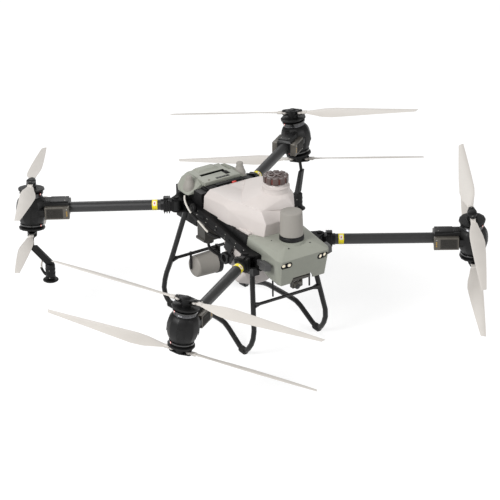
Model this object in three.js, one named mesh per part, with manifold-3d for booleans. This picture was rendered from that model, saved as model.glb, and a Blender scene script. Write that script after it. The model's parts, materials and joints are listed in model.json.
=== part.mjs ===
// Agricultural spraying drone: four folding arms, each with a coaxial pair of
// two-blade folding rotors. Millimetres, +Z up, nose towards -Y, feet on z = 0.
// "Left" and "right" are the craft's own: its left is +X, its right is -X.
import * as THREE from "three";
import { mergeVertices } from "three/addons/utils/BufferGeometryUtils.js";
import { ConvexGeometry } from "three/addons/geometries/ConvexGeometry.js";
import Module from "manifold-3d";

const wasm = await Module();
wasm.setup();

// ---------------------------------------------------------------- dimensions
const GAP = 0.3;                 // clearance left between seated pieces
// arms and pods
const FRONT_HINGE = [216, -312, 509];
const REAR_HINGE = [216, 298, 589];
const FRONT_POD = [837, -721, 503];
const REAR_POD = [794, 719, 569.5];
const TUBE_R = 25.5;
const KNUCKLE_R = 26, KNUCKLE_H = 51, PIN_R = 8;
const COLLAR_IN = 20, COLLAR_OUT = 62, COLLAR_W = 60, COLLAR_H = 60;
const POD_R = 76, POD_NECK_R = 52, POD_HALF = 86;
const POD_SEGMENTS = 12;
const SOCKET_LENGTH = 135, SOCKET_W = 74, SOCKET_H = 60;
const ESC_LENGTH = 120, ESC_T = 26, ESC_H = 62;
const FRONT_CANT = 7.3, FRONT_LEAN = 2.0;   // mast tilt about and along the arm
const REAR_CANT = 8.0, REAR_LEAN = 0.5;
// rotors
const ROTOR_R = 685.8;           // 54 inch propeller
const BLADE_Z = 129;             // blade plane above the pod's middle
const PIVOT = 42;                // blade pivot from the mast axis
const PLATE_T = 6, ROOT_T = 12, EYE_R = 13, PIVOT_PIN_R = 5;
const FLANGE_R = 66, HUB_R = 23.5;
const MAX_CHORD = 78, TIP_CHORD = 24;
// frame
const BEAM_IN = 159, BEAM_OUT = 185, BEAM_H = 46;
const YOKE_OUT = 188, YOKE_T = 8, YOKE_GAP = 1;
// body
const TANK_HALF = 155, TANK_WALL = 6;
const CAP_POS = [58, -175], CAP_R = 62, NECK_R = 50, NECK_TOP = 815;
const RADAR_R = 56, RADAR_RING_R = 60, RADAR_POS = [0, -388], RADAR_SEAT = 598.5;
const BATTERY = { x: 104, y0: 231, y1: 392, z0: 492, z1: 704 };
const REAR_RADAR = { y: 380, z: 180, r: 59, x0: -71, x1: 71 };
// landing gear
const LEG_R = 13, FOOT_R = 17, CROSS_R = 8;
const FOOT_FLAT = 6;              // height of the foot sleeves' flat undersides
// spray nozzles
const NOZZLE_R = 24.5, DISC_R = 39;

// ---------------------------------------------------------------- materials
const mat = (color, roughness, metalness = 0) =>
  new THREE.MeshStandardMaterial({ color, roughness, metalness });
const BLACK = mat(0x1d1d1e, 0.55), CARBON = mat(0x2f2f31, 0.45), FRAME = mat(0x262627, 0.5);
const SHELL = mat(0x8d9186, 0.55), DOME = mat(0x8f8b85, 0.6), TANK = mat(0xd8d2cf, 0.4);
const CAP = mat(0x3b3231, 0.5), BLADE = mat(0xd9d5cf, 0.5), GREY = mat(0x4a4a4c, 0.5);
const PUMP = mat(0x5d5a55, 0.6);

// ---------------------------------------------------------------- helpers
function toSolid(geometry) {
  let g = geometry.index ? geometry.toNonIndexed() : geometry.clone();
  for (const n of Object.keys(g.attributes)) if (n !== "position") g.deleteAttribute(n);
  g = mergeVertices(g, 1e-4);
  return new wasm.Manifold(new wasm.Mesh({
    numProp: 3,
    vertProperties: new Float32Array(g.attributes.position.array),
    triVerts: new Uint32Array(g.index.array),
  }));
}
function toGeometry(solid) {
  const m = solid.getMesh();
  const g = new THREE.BufferGeometry();
  g.setAttribute("position", new THREE.BufferAttribute(new Float32Array(m.vertProperties), 3));
  g.setIndex(new THREE.BufferAttribute(new Uint32Array(m.triVerts), 1));
  g.computeVertexNormals();
  return g;
}
const join = (...gs) => toGeometry(gs.map(toSolid).reduce((a, b) => a.add(b)));
const cut = (a, ...gs) => toGeometry(gs.map(toSolid).reduce((s, b) => s.subtract(b), toSolid(a)));
const mirrorX = (g) => flip(g, [-1, 1, 1]);
function flip(g, [sx, sy, sz]) {
  const n = g.index ? g.toNonIndexed() : g.clone();
  for (const k of Object.keys(n.attributes)) if (k !== "position") n.deleteAttribute(k);
  n.scale(sx, sy, sz);
  if (sx * sy * sz < 0) {
    const p = n.attributes.position;
    for (let i = 0; i < p.count; i += 3) {
      const a = [p.getX(i), p.getY(i), p.getZ(i)];
      p.setXYZ(i, p.getX(i + 2), p.getY(i + 2), p.getZ(i + 2));
      p.setXYZ(i + 2, ...a);
    }
  }
  n.computeVertexNormals();
  return n;
}
function box(x0, x1, y0, y1, z0, z1) {
  const g = new THREE.BoxGeometry(x1 - x0, y1 - y0, z1 - z0);
  g.translate((x0 + x1) / 2, (y0 + y1) / 2, (z0 + z1) / 2);
  return g;
}
// cylinder from one point to another
function rod(a, b, r, segments = 12, r2 = r) {
  const A = new THREE.Vector3(...a), B = new THREE.Vector3(...b);
  const d = B.clone().sub(A);
  const g = new THREE.CylinderGeometry(r2, r, d.length(), segments);
  g.applyQuaternion(new THREE.Quaternion().setFromUnitVectors(new THREE.Vector3(0, 1, 0), d.clone().normalize()));
  const c = A.add(B).multiplyScalar(0.5);
  g.translate(c.x, c.y, c.z);
  return g;
}
// lathe about Z, profile as [radius, z] pairs from bottom to top
function turned(profile, segments) {
  const g = new THREE.LatheGeometry(profile.map(([r, z]) => new THREE.Vector2(r, z)), segments);
  g.rotateX(Math.PI / 2);
  return g;
}
const hull = (pts) => new ConvexGeometry(pts.map((p) => new THREE.Vector3(...p)));
const bothSides = (pts) => pts.flatMap(([x, y, z]) => [[x, y, z], [-x, y, z]]);
function ring(cx, cy, z, r, n = 12) {
  return Array.from({ length: n }, (_, i) => {
    const a = (2 * Math.PI * (i + 0.5)) / n;
    return [cx + r * Math.cos(a), cy + r * Math.sin(a), z];
  });
}
// bent tube through points, each corner taken in two short mitres
function bentTube(points, r, bend, segments = 8) {
  const P = points.map((p) => new THREE.Vector3(...p));
  const stops = [P[0]];
  for (let i = 1; i < P.length - 1; i++) {
    for (const q of [P[i - 1], P[i + 1]]) {
      const d = q.clone().sub(P[i]), l = d.length();
      stops.push(P[i].clone().addScaledVector(d.normalize(), Math.min(bend, l * 0.4)));
    }
  }
  stops.push(P[P.length - 1]);
  const dir = stops.slice(1).map((p, i) => p.clone().sub(stops[i]).normalize());
  const side = new THREE.Vector3(1, 0, 0).addScaledVector(dir[0], -dir[0].x).normalize();
  const rings = stops.map((p, i) => {
    const t = i === 0 ? dir[0] : i === dir.length ? dir[i - 1] : dir[i - 1].clone().add(dir[i]).normalize();
    side.addScaledVector(t, -side.dot(t)).normalize();
    const up = new THREE.Vector3().crossVectors(t, side);
    return Array.from({ length: segments }, (_, k) => {
      const a = (2 * Math.PI * k) / segments;
      return p.clone().addScaledVector(side, r * Math.cos(a)).addScaledVector(up, r * Math.sin(a));
    });
  });
  const pos = [], tri = (...v) => v.forEach((q) => pos.push(q.x, q.y, q.z));
  for (let i = 0; i + 1 < rings.length; i++) {
    for (let k = 0; k < segments; k++) {
      const n = (k + 1) % segments, A = rings[i], C = rings[i + 1];
      tri(A[k], A[n], C[k]);
      tri(C[k], A[n], C[n]);
    }
  }
  const E = rings[rings.length - 1];
  for (let k = 1; k + 1 < segments; k++) {
    tri(rings[0][0], rings[0][k + 1], rings[0][k]);
    tri(E[0], E[k], E[k + 1]);
  }
  const g = new THREE.BufferGeometry();
  g.setAttribute("position", new THREE.Float32BufferAttribute(pos, 3));
  return g;
}

const drone = new THREE.Group();
function add(parent, name, geometry, material) {
  const m = new THREE.Mesh(geometry, material);
  m.name = name;
  parent.add(m);
  return m;
}

// ---------------------------------------------------------------- main frame
// A side beam carries the hinge yokes of the front and rear arm on its side.
function sideBeam() {
  const beam = hull([
    [BEAM_IN, 345, 600 - 21], [BEAM_OUT, 345, 600 - 21], [BEAM_IN, 345, 600 + 25], [BEAM_OUT, 345, 600 + 25],
    [BEAM_IN, -350, 510 - 20], [BEAM_OUT, -350, 510 - 20], [BEAM_IN, -350, 510 + 20], [BEAM_OUT, -350, 510 + 20],
    [BEAM_IN, 110, 583 - BEAM_H / 2], [BEAM_OUT, 110, 583 - BEAM_H / 2],
    [BEAM_IN, 110, 583 + BEAM_H / 2], [BEAM_OUT, 110, 583 + BEAM_H / 2],
  ]);
  const parts = [beam];
  for (const [x, y, z] of [FRONT_HINGE, REAR_HINGE]) {
    const low = z - KNUCKLE_H / 2 - YOKE_GAP, high = z + KNUCKLE_H / 2 + YOKE_GAP;
    parts.push(box(BEAM_IN, YOKE_OUT, y - 46, y + 46, low - YOKE_T, high + YOKE_T));
    for (const [a, b] of [[low - YOKE_T, low], [high, high + YOKE_T]]) {
      parts.push(hull([...ring(x, y, a, 24), ...ring(x, y, b, 24),
        ...[a, b].flatMap((h) => [[BEAM_OUT - 2, y - 42, h], [BEAM_OUT - 2, y + 42, h]])]));
    }
    parts.push(rod([x, y, low - 1], [x, y, high + 1], PIN_R, 16));
    parts.push(rod([x, y, high + YOKE_T - 1], [x, y, high + YOKE_T + 6], 13, 12));
  }
  // screw bosses along the outer face
  for (const y of [-230, -120, -10, 100, 190]) {
    const z = 583 + (y - 110) * 0.159;
    parts.push(rod([BEAM_OUT - 2, y, z - 8], [BEAM_OUT + 2.5, y, z - 8], 5, 8));
  }
  return join(...parts);
}
const beam = sideBeam();
add(drone, "side_beam_left", beam, FRAME);
add(drone, "side_beam_right", mirrorX(beam), FRAME);

// front cross member with the floor plate of the nose and two whip antennas
const inner = BEAM_IN - GAP;
add(drone, "front_cross_member", join(
  box(-inner, inner, -350, -300, 452, 489),
  box(-112, 112, -452, -340, 455, 467),
  rod([107, -379, 456], [107, -379, 316], 4.5, 8), rod([-107, -379, 456], [-107, -379, 316], 4.5, 8),
  rod([107, -379, 456], [107, -379, 430], 8, 8), rod([-107, -379, 456], [-107, -379, 430], 8, 8),
), BLACK);

// rear bulkhead behind the tank with the open battery tray
add(drone, "rear_bulkhead", cut(join(
  box(-inner, inner, 158, 226, 545, 676),
  box(-150, 150, 222, 402, 478, 646 - GAP),
  box(-118, 118, 170, 222, 672, 684),
), box(-BATTERY.x - 2, BATTERY.x + 2, BATTERY.y0 - 2, BATTERY.y1 + 2, BATTERY.z0 - GAP, 700),
box(-60, 60, 390, 410, 560, 660)), BLACK);

// ---------------------------------------------------------------- battery
const B = BATTERY;
add(drone, "battery", cut(join(
  hull([...bothSides([[B.x, B.y0, B.z0], [B.x, B.y1, B.z0], [B.x, B.y0, B.z1 - 12], [B.x, B.y1, B.z1 - 12],
    [B.x - 12, B.y0 + 8, B.z1], [B.x - 12, B.y1 - 10, B.z1]])]),
  hull([...bothSides([[62, 330, B.z1 - 2], [62, 388, B.z1 - 2], [44, 345, B.z1 + 34], [44, 382, B.z1 + 34]])]),
),
// grip slot in front of the raised handle
box(-70, 70, 286, 312, B.z1 - 40, B.z1 + 50),
), SHELL);

// ---------------------------------------------------------------- shoulders
function shoulder() {
  return join(
    hull([[108, 232, 646], [108, 402, 646], [190, 243, 656], [192, 300, 650], [190, 392, 652],
      [110, 236, 690], [110, 400, 694], [172, 262, 700], [176, 330, 708], [170, 392, 700]]),
    turned([[0, 680], [46, 680], [44, 698], [24, 712], [20, 716], [17.5, 730], [15, 733], [0, 733]], 16)
      .translate(150, 293, 0),
  );
}
const ear = cut(shoulder(), box(100, BATTERY.x + 2, 200, 420, 600, 760));
add(drone, "rear_shoulder_left", ear, SHELL);
add(drone, "rear_shoulder_right", mirrorX(ear), SHELL);

// ---------------------------------------------------------------- tank
const tankUpper = bothSides([
  [155, -60, 592], [98, -288, 592], [155, 150, 592],
  [155, -18, 684], [152, -75, 672], [82, -291, 652], [155, 140, 672],
  [144, -52, 710], [92, -262, 706], [128, 140, 702],
]);
// raised part round the filling neck
const tankRaised = [
  [-22, -262, 700], [72, -266, 702], [104, -284, 690], [128, -222, 738],
  [26, -150, 760], [11, 33, 758], [112, 33, 758], [142, -20, 754], [148, -142, 758], [100, -215, 762],
  [16, -150, 660], [0, 50, 660], [128, 50, 660], [150, -60, 660], [150, 20, 660],
];
// hopper between the beams, and the bowl that the pumps draw from
const tankHopper = bothSides([
  [130, -215, 430], [130, 0, 430], [124, -150, 356], [128, 0, 362], [118, -178, 376],
  [138, -222, 600], [138, 10, 600],
]);
const tankBowl = bothSides([
  [42, -114, 258], [96, -42, 258], [86, -18, 264], [112, -150, 350], [112, -16, 372], [88, -172, 372],
]);
// a hull's inner copy, one wall smaller on every side
const inside = (pts, wall) => hull(pts.map((p) => p.map((v, i) => {
  const side = pts.map((q) => q[i]), lo = Math.min(...side), hi = Math.max(...side);
  return (lo + hi) / 2 + (v - (lo + hi) / 2) * (1 - (2 * wall) / (hi - lo));
})));
const shrink = (pts, c, k) => pts.map((p) => p.map((v, i) => c[i] + (v - c[i]) * k));
const tankBody = cut(
  join(hull(tankUpper), hull(tankRaised), hull(tankHopper), hull(tankBowl),
    turned([[0, 700], [88, 742], [NECK_R + 17, NECK_TOP - 30], [NECK_R + 14, NECK_TOP - 20], [NECK_R, NECK_TOP - 14],
      [NECK_R, NECK_TOP], [0, NECK_TOP]], 24)
      .translate(CAP_POS[0], CAP_POS[1], 0)),
  inside(tankUpper, TANK_WALL), inside(tankRaised, TANK_WALL), inside(tankHopper, TANK_WALL),
  inside(tankBowl, TANK_WALL),
  // the ways from one hollow to the next
  box(22, 118, -200, 20, 680, 720),
  box(-118, 118, -195, -12, 560, 620),
  box(-80, 80, -135, -36, 330, 380),
  rod([CAP_POS[0], CAP_POS[1], 700], [CAP_POS[0], CAP_POS[1], 860], NECK_R - 8, 20),
);
add(drone, "tank", tankBody, TANK);

// lid with a notched rim, standing over the neck
function lid() {
  const body = turned([[0, NECK_TOP + GAP], [NECK_R + 1, NECK_TOP + GAP], [NECK_R + 1, NECK_TOP - 8],
    [CAP_R, NECK_TOP - 8], [CAP_R, NECK_TOP + 20], [CAP_R - 8, NECK_TOP + 28], [0, NECK_TOP + 30]], 20);
  const notches = Array.from({ length: 10 }, (_, i) => {
    const a = (2 * Math.PI * i) / 10;
    return rod([CAP_R * 1.03 * Math.cos(a), CAP_R * 1.03 * Math.sin(a), NECK_TOP - 2],
      [CAP_R * 1.03 * Math.cos(a), CAP_R * 1.03 * Math.sin(a), NECK_TOP + 40], 8, 8);
  });
  return cut(body, ...notches).translate(CAP_POS[0], CAP_POS[1], 0);
}
add(drone, "tank_cap", lid(), CAP);

// ---------------------------------------------------------------- nose
const nosePts = bothSides([
  [136, -502, 546], [150, -478, 550], [126, -478, 412], [120, -440, 404], [150, -400, 440],
  [158.5, -330, 500], [158.5, -228, 540], [150, -228, 590], [110, -300, 588],
  [70, -330, 596], [70, -440, 592], [120, -440, 580],
]);
const noseInner = shrink(nosePts, [0, -330, 470], 0.955).map(([x, y, z]) => [x, y, z - 4]);
function nose() {
  const shell = cut(
    join(hull(nosePts), rod([...RADAR_POS, 560], [...RADAR_POS, RADAR_SEAT], 66, 20)),
    rod([...RADAR_POS, RADAR_SEAT], [...RADAR_POS, 660], 80, 20),
    hull(noseInner),
    // open towards the tank and underneath
    box(-140, 140, -300, -200, 380, 560),
    box(-118, 118, -462, -220, 380, 468),
    // tank seat
    hull(tankUpper.map(([x, y, z]) => [x * 1.004, y * 1.004 - 0.6, z - 0.6])),
    box(-170, 170, -360, -200, 380, 489.5),
    // arch over the camera
    hull([[-76, -520, 400], [66, -520, 400], [-76, -440, 400], [66, -440, 400], [-58, -520, 440], [48, -520, 440],
      [-58, -440, 440], [48, -440, 440]]),
    // window pockets
    ...[1, -1].map((s) => windowGeometry(s, 1)),
  );
  return shell;
}
// oval vision window, two lenses, set in the front corner of the nose
function windowGeometry(s, grow = 0) {
  const n = 16, w = 31 + grow * 0.4, h = 17 + grow * 0.4;
  const shape = new THREE.Shape();
  for (let i = 0; i < n; i++) {
    const t = (2 * Math.PI * i) / n;
    const x = (w - h) * Math.sign(Math.cos(t)) * (Math.abs(Math.cos(t)) > 1e-6 ? 1 : 0) + h * Math.cos(t), y = h * Math.sin(t);
    if (i) shape.lineTo(x, y); else shape.moveTo(x, y);
  }
  const g = new THREE.ExtrudeGeometry(shape, { depth: grow ? 40 : 13, bevelEnabled: false });
  g.translate(0, 0, grow ? -11.5 : -11);
  g.rotateX(Math.PI / 2 + 0.17);
  g.rotateZ(s * 0.22);
  g.translate(s * 104, -492, 521);
  return g;
}
add(drone, "nose_shell", nose(), SHELL);
add(drone, "vision_window_left", windowGeometry(1), BLACK);
add(drone, "vision_window_right", windowGeometry(-1), BLACK);

add(drone, "front_radar", turned([[0, RADAR_SEAT + GAP], [RADAR_RING_R, RADAR_SEAT + GAP],
  [RADAR_RING_R, RADAR_SEAT + 32], [RADAR_R + 0.5, RADAR_SEAT + 34], [RADAR_R - 2.5, 737], [RADAR_R - 7, 742], [0, 742]], 28)
  .translate(...RADAR_POS, 0), DOME);

// forward camera on its bracket below the nose arch
const CAM = { x: -30, y: -466, z: 392, r: 19, half: 23 };
add(drone, "camera_bracket", join(
  box(-64, 52, -468, -452.3, 411, 425),
  box(-40, 40, -460, -452.3, 420, 466),
  box(CAM.x - CAM.half - 7, CAM.x - CAM.half - 0.4, -478, -456, 382, 415),
  box(CAM.x + CAM.half + 0.4, CAM.x + CAM.half + 7, -478, -456, 382, 415),
), PUMP);
add(drone, "camera", join(
  rod([CAM.x - CAM.half, CAM.y, CAM.z], [CAM.x + CAM.half, CAM.y, CAM.z], CAM.r - 3, 16),
  rod([CAM.x - 8, CAM.y - 24, CAM.z], [CAM.x - 8, CAM.y, CAM.z], 14, 16),
), GREY);

// lamp blocks on the front ends of the side beams
function lamp() {
  return join(
    hull([[164, -455, 492], [196, -448, 496], [164, -455, 528], [194, -448, 530],
      [164, -395, 490], [200, -400, 494], [164, -395, 532], [198, -400, 534]]),
    box(166, 184, -400, -358 - GAP, 496, 524),
  );
}
add(drone, "lamp_left", lamp(), GREY);
add(drone, "lamp_right", mirrorX(lamp()), GREY);

// ---------------------------------------------------------------- pumps
function pump() {
  return join(
    box(58, 148, 150 + GAP, 218, 432, 545 - GAP),
    box(52, 154, 150 + GAP, 224, 418, 432),
    rod([103, 186, 420], [103, 186, 398], 26, 12),
    rod([60, 186, 470], [44, 186, 470], 12, 10),
  );
}
add(drone, "pump_left", pump(), PUMP);
add(drone, "pump_right", mirrorX(pump()), PUMP);

// ---------------------------------------------------------------- landing gear
const LEG = [
  [170, -300, 451], [180, -312, 393], [196, -338, 272], [213, -370, 132], [216, -338, 56], [219, -290, FOOT_R],
  [218, -262, 24], [214, -128, 98], [212, -90, 104], [212, 150, 98], [214, 300, 52], [217, 352, FOOT_R],
  [216, 392, 20], [213, 444, 62], [210, 428, 150], [195, 392, 250], [174, 273, 560],
];
function gearFrame(r) {
  return bentTube(LEG, r, 22);
}
function landingLeg() {
  return join(
    gearFrame(LEG_R),
    rod([218.7, -302, FOOT_R + 4], [218.4, -262, FOOT_R + 6.5], FOOT_R, 12),
    rod([216.8, 340, FOOT_R + 4], [216.6, 384, FOOT_R + 1.5], FOOT_R, 12),
    box(150, 176, -330, -300.3, 424, 452 - GAP),
    box(162, 186, -330, -272, 424, 475),
  );
}
const legClear = [box(-inner - 1, inner + 1, -350.3, -299.7, 451.7, 489.3)];
const leg = cut(landingLeg(), ...legClear,
  // flat underside of the foot sleeves
  box(180, 260, -420, 480, -20, FOOT_FLAT),
  // seats against the beam and tray
  ...sideBeamClear());
function sideBeamClear() {
  return [box(BEAM_IN - GAP, YOKE_OUT + GAP, 200, 400, 554.5 - GAP, 650), box(BEAM_IN - GAP, YOKE_OUT + GAP, -400, -200, 474.5 - GAP, 560)];
}
add(drone, "landing_leg_left", leg, BLACK);
add(drone, "landing_leg_right", mirrorX(leg), BLACK);

const legBulk = [gearFrame(LEG_R + GAP), mirrorX(gearFrame(LEG_R + GAP))];
function crossbar(y, z, reach, extra) {
  return cut(join(
    rod([-reach, y, z], [reach, y, z], CROSS_R, 10),
    rod([reach - 34, y, z], [reach, y, z], CROSS_R, 10, 17),
    rod([-reach + 34, y, z], [-reach, y, z], CROSS_R, 10, 17),
    ...extra,
  ), ...legBulk);
}
add(drone, "front_crossbar", crossbar(-337, 274, 190, []), BLACK);
add(drone, "rear_crossbar", crossbar(391, 252, 190, [
  rod([-80, 391, 262], [-80, 391, 168], 6, 8), rod([80, 391, 262], [80, 391, 168], 6, 8),
  box(REAR_RADAR.x1 + 1, REAR_RADAR.x1 + 7, 360, 400, 170, 262),
]), BLACK);

// rearward radar, lying across the craft under the rear crossbar
add(drone, "rear_radar", turned([[0, REAR_RADAR.x0], [REAR_RADAR.r - 8, REAR_RADAR.x0], [REAR_RADAR.r - 3, REAR_RADAR.x0 + 5],
  [REAR_RADAR.r, REAR_RADAR.x1 - 24], [REAR_RADAR.r + 3, REAR_RADAR.x1 - 22], [REAR_RADAR.r + 3, REAR_RADAR.x1], [0, REAR_RADAR.x1 + 0.7]], 28)
  .rotateY(Math.PI / 2).translate(0, REAR_RADAR.y, REAR_RADAR.z), DOME);

// ---------------------------------------------------------------- arms
// Arm frame: +X outwards along the arm from the hinge, +Z up.
function armGeometry(L) {
  const ribs = [31, 43, 55].map((x) => box(x, x + 4.5, -34, 34, -33, 33));
  return join(
    hull([[10, -22, -25], [10, 22, -25], [10, -22, 25], [10, 22, 25],
      ...[-COLLAR_W / 2, COLLAR_W / 2].flatMap((y) => [[COLLAR_IN + 12, y, -24], [COLLAR_IN + 12, y, 24]]),
      ...[-24, 24].flatMap((y) => [[COLLAR_OUT, y, -COLLAR_H / 2], [COLLAR_OUT, y, COLLAR_H / 2]]),
      ...[-30, 30].flatMap((y) => [[COLLAR_OUT, y, -22], [COLLAR_OUT, y, 22]])]),
    ...ribs,
    box(36, COLLAR_OUT, -14, 14, 28, 41),
    rod([COLLAR_OUT - 4, 0, 0], [COLLAR_OUT + 14, 0, 0], TUBE_R + 3, 12),
    rod([50, 0, 0], [L - 108, 0, 0], TUBE_R, 12),
  );
}
// round knuckle on the upright hinge pin
const knuckle = () => turned([[0, -KNUCKLE_H / 2], [KNUCKLE_R, -KNUCKLE_H / 2], [KNUCKLE_R, KNUCKLE_H / 2], [0, KNUCKLE_H / 2]], 16);

// Pod: motor housing on the mast, with the arm socket and two speed
// controllers at the sides of the socket.
function podGeometry(L, mast, droop) {
  const housing = turned([[0, -POD_HALF], [POD_NECK_R - 4, -POD_HALF], [POD_NECK_R, -POD_HALF + 3], [POD_NECK_R, -58], [63, -46], [POD_R - 3, -24], [POD_R, 0], [POD_R - 3, 24], [63, 46],
    [POD_NECK_R, 58], [POD_NECK_R, POD_HALF - 3], [POD_NECK_R - 4, POD_HALF],
    [0, POD_HALF]], POD_SEGMENTS);
  housing.applyQuaternion(mast);
  housing.rotateY(-droop);
  housing.translate(L, 0, 0);
  const s0 = L - 55 - SOCKET_LENGTH, s1 = L - 40;
  const socket = hull([
    ...[-SOCKET_W / 2, SOCKET_W / 2].flatMap((y) => [[s0, y, -24], [s0, y, 26], [s1, y, -24], [s1, y, 26]]),
    ...[-24, 24].flatMap((y) => [[s0, y, -31], [s1, y, -31]]),
    ...[-30, 30].flatMap((y) => [[s0 + 6, y, 40], [s1, y, 42]]),
  ]);
  const boxes = [1, -1].map((s) => {
    const a = s * (SOCKET_W / 2 - 1), b = s * (SOCKET_W / 2 + ESC_T);
    return join(
      box(L - 70 - ESC_LENGTH, L - 70, Math.min(a, b), Math.max(a, b), -38, -38 + ESC_H),
      box(L - 72, L - 50, Math.min(a, b * 0.8), Math.max(a, b * 0.8), -30, 14));
  });
  const lugs = box(L - 66, L - 30, -64, 64, -16, 12);
  return cut(join(housing, socket, ...boxes, lugs),
    rod([s0 - 5, 0, 0], [L - 104, 0, 0], TUBE_R + GAP + 0.2, 16));
}

// Rotor head, in the rotor frame: mast along +Z, blades along X, the pod's
// middle at the origin. The bore takes the nozzle drop pipe.
function headGeometry(bore) {
  const z0 = BLADE_Z - ROOT_T / 2 - 0.5 - PLATE_T, z1 = BLADE_Z + ROOT_T / 2 + 0.5;
  const outline = (z, t) => hull([...ring(PIVOT, 0, z, 14, 8), ...ring(-PIVOT, 0, z, 14, 8), ...ring(0, 0, z, 25, 8),
    ...ring(PIVOT, 0, z + t, 14, 8), ...ring(-PIVOT, 0, z + t, 14, 8), ...ring(0, 0, z + t, 25, 8)]);
  const head = join(
    turned([[0, POD_HALF + 0.6], [44, POD_HALF + 0.6], [FLANGE_R - 6, POD_HALF + 6], [FLANGE_R, POD_HALF + 9],
      [FLANGE_R - 1, POD_HALF + 17], [HUB_R + 2, POD_HALF + 18], [HUB_R, z1 + PLATE_T],
      [14, z1 + PLATE_T + 6], [0, z1 + PLATE_T + 7]], 14),
    outline(z0, PLATE_T), outline(z1, PLATE_T),
    rod([PIVOT, 0, z0 + 1], [PIVOT, 0, z1 + PLATE_T - 1], PIVOT_PIN_R, 8),
    rod([-PIVOT, 0, z0 + 1], [-PIVOT, 0, z1 + PLATE_T - 1], PIVOT_PIN_R, 8),
  );
  return bore ? cut(head, rod([0, 0, 60], [0, 0, 180], 10, 14)) : head;
}

// Blade, pivot at the origin, span along +X, leading edge towards +Y and high.
function bladeGeometry() {
  const tip = ROTOR_R - PIVOT;
  const st = [ // span, chord, thickness, pitch
    [32, 28, 11, 4], [80, 46, 9.5, 15], [130, 68, 8, 19], [190, MAX_CHORD, 7, 18], [320, 66, 5.4, 14],
    [490, 45, 4, 10], [tip, TIP_CHORD, 2.6, 7],
  ];
  const loop = ([x, c, t, pitch], i) => {
    const a = (pitch * Math.PI) / 180;
    const sec = [[0.4, 0], [0.2, 0.5], [-0.2, 0.4], [-0.6, 0.1], [-0.6, -0.12], [0, -0.5]];
    return sec.map(([u, w]) => {
      const y = u * c, z = w * t;
      const skew = i === st.length - 1 ? (u - 0.4) * 10 : 0;
      return [x + skew, y * Math.cos(a) - z * Math.sin(a), y * Math.sin(a) + z * Math.cos(a)];
    });
  };
  const loops = st.map(loop), n = loops[0].length, pos = [];
  const tri = (a, b, c) => pos.push(...a, ...b, ...c);
  for (let i = 0; i + 1 < loops.length; i++) {
    for (let j = 0; j < n; j++) {
      const k = (j + 1) % n, A = loops[i], C = loops[i + 1];
      tri(A[j], C[j], A[k]);
      tri(A[k], C[j], C[k]);
    }
  }
  for (let j = 1; j + 1 < n; j++) {
    tri(loops[0][0], loops[0][j], loops[0][j + 1]);
    const E = loops[loops.length - 1];
    tri(E[0], E[j + 1], E[j]);
  }
  let loft = new THREE.BufferGeometry();
  loft.setAttribute("position", new THREE.Float32BufferAttribute(pos, 3));
  let solid = toSolid(loft);
  if (solid.volume() < 0) {
    loft = flip(loft, [1, 1, 1]);
    const p = loft.attributes.position;
    for (let i = 0; i < p.count; i += 3) {
      const a = [p.getX(i), p.getY(i), p.getZ(i)];
      p.setXYZ(i, p.getX(i + 2), p.getY(i + 2), p.getZ(i + 2));
      p.setXYZ(i + 2, ...a);
    }
  }
  const h = ROOT_T / 2;
  const root = hull([...ring(0, 0, -h, EYE_R, 10), ...ring(0, 0, h, EYE_R, 10),
    [38, -13, -h + 1], [38, 11, -h + 1], [38, -13, h - 1], [38, 11, h - 1]]);
  return cut(join(root, loft), rod([0, 0, -20], [0, 0, 20], PIVOT_PIN_R + 0.6, 8));
}
const BLADE_CCW = bladeGeometry();
const HEAD = headGeometry(false), HEAD_BORED = headGeometry(true);

// Nozzle drop pipe under a rear pod, in the pod's rotor frame turned upright,
// with its slanting bracket, pump body and the seat of the spray disc.
function dropPipe(L, mast, side) {
  const pipe = rod([0, 0, -POD_HALF - GAP], [0, 0, -205], 8, 12);
  pipe.applyQuaternion(mast);
  pipe.translate(L, 0, 0);
  const foot = new THREE.Vector3(0, 0, -200).applyQuaternion(mast);
  const top = [L + foot.x, foot.y, foot.z];
  const at = [L - 82, side * 36, -290];
  const plate = hull([
    [top[0] - 22, top[1] - 9, top[2] + 6], [top[0] + 22, top[1] - 9, top[2] + 6],
    [top[0] - 22, top[1] + 9, top[2] + 6], [top[0] + 22, top[1] + 9, top[2] + 6],
    [at[0] - 20, at[1] - 12, at[2] + 8], [at[0] + 22, at[1] - 12, at[2] + 8],
    [at[0] - 20, at[1] + 12, at[2] + 8], [at[0] + 22, at[1] + 12, at[2] + 8],
    [at[0] - 10, at[1], at[2] - 6], [at[0] + 14, at[1], at[2] - 6],
  ]);
  const body = turned([[0, -76], [16, -76], [16, -70], [NOZZLE_R - 2, -66], [NOZZLE_R, -60], [NOZZLE_R, 0], [NOZZLE_R - 5, 6], [0, 6]], 12);
  body.translate(...at);
  return { geometry: join(pipe, plate, body), at };
}

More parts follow.
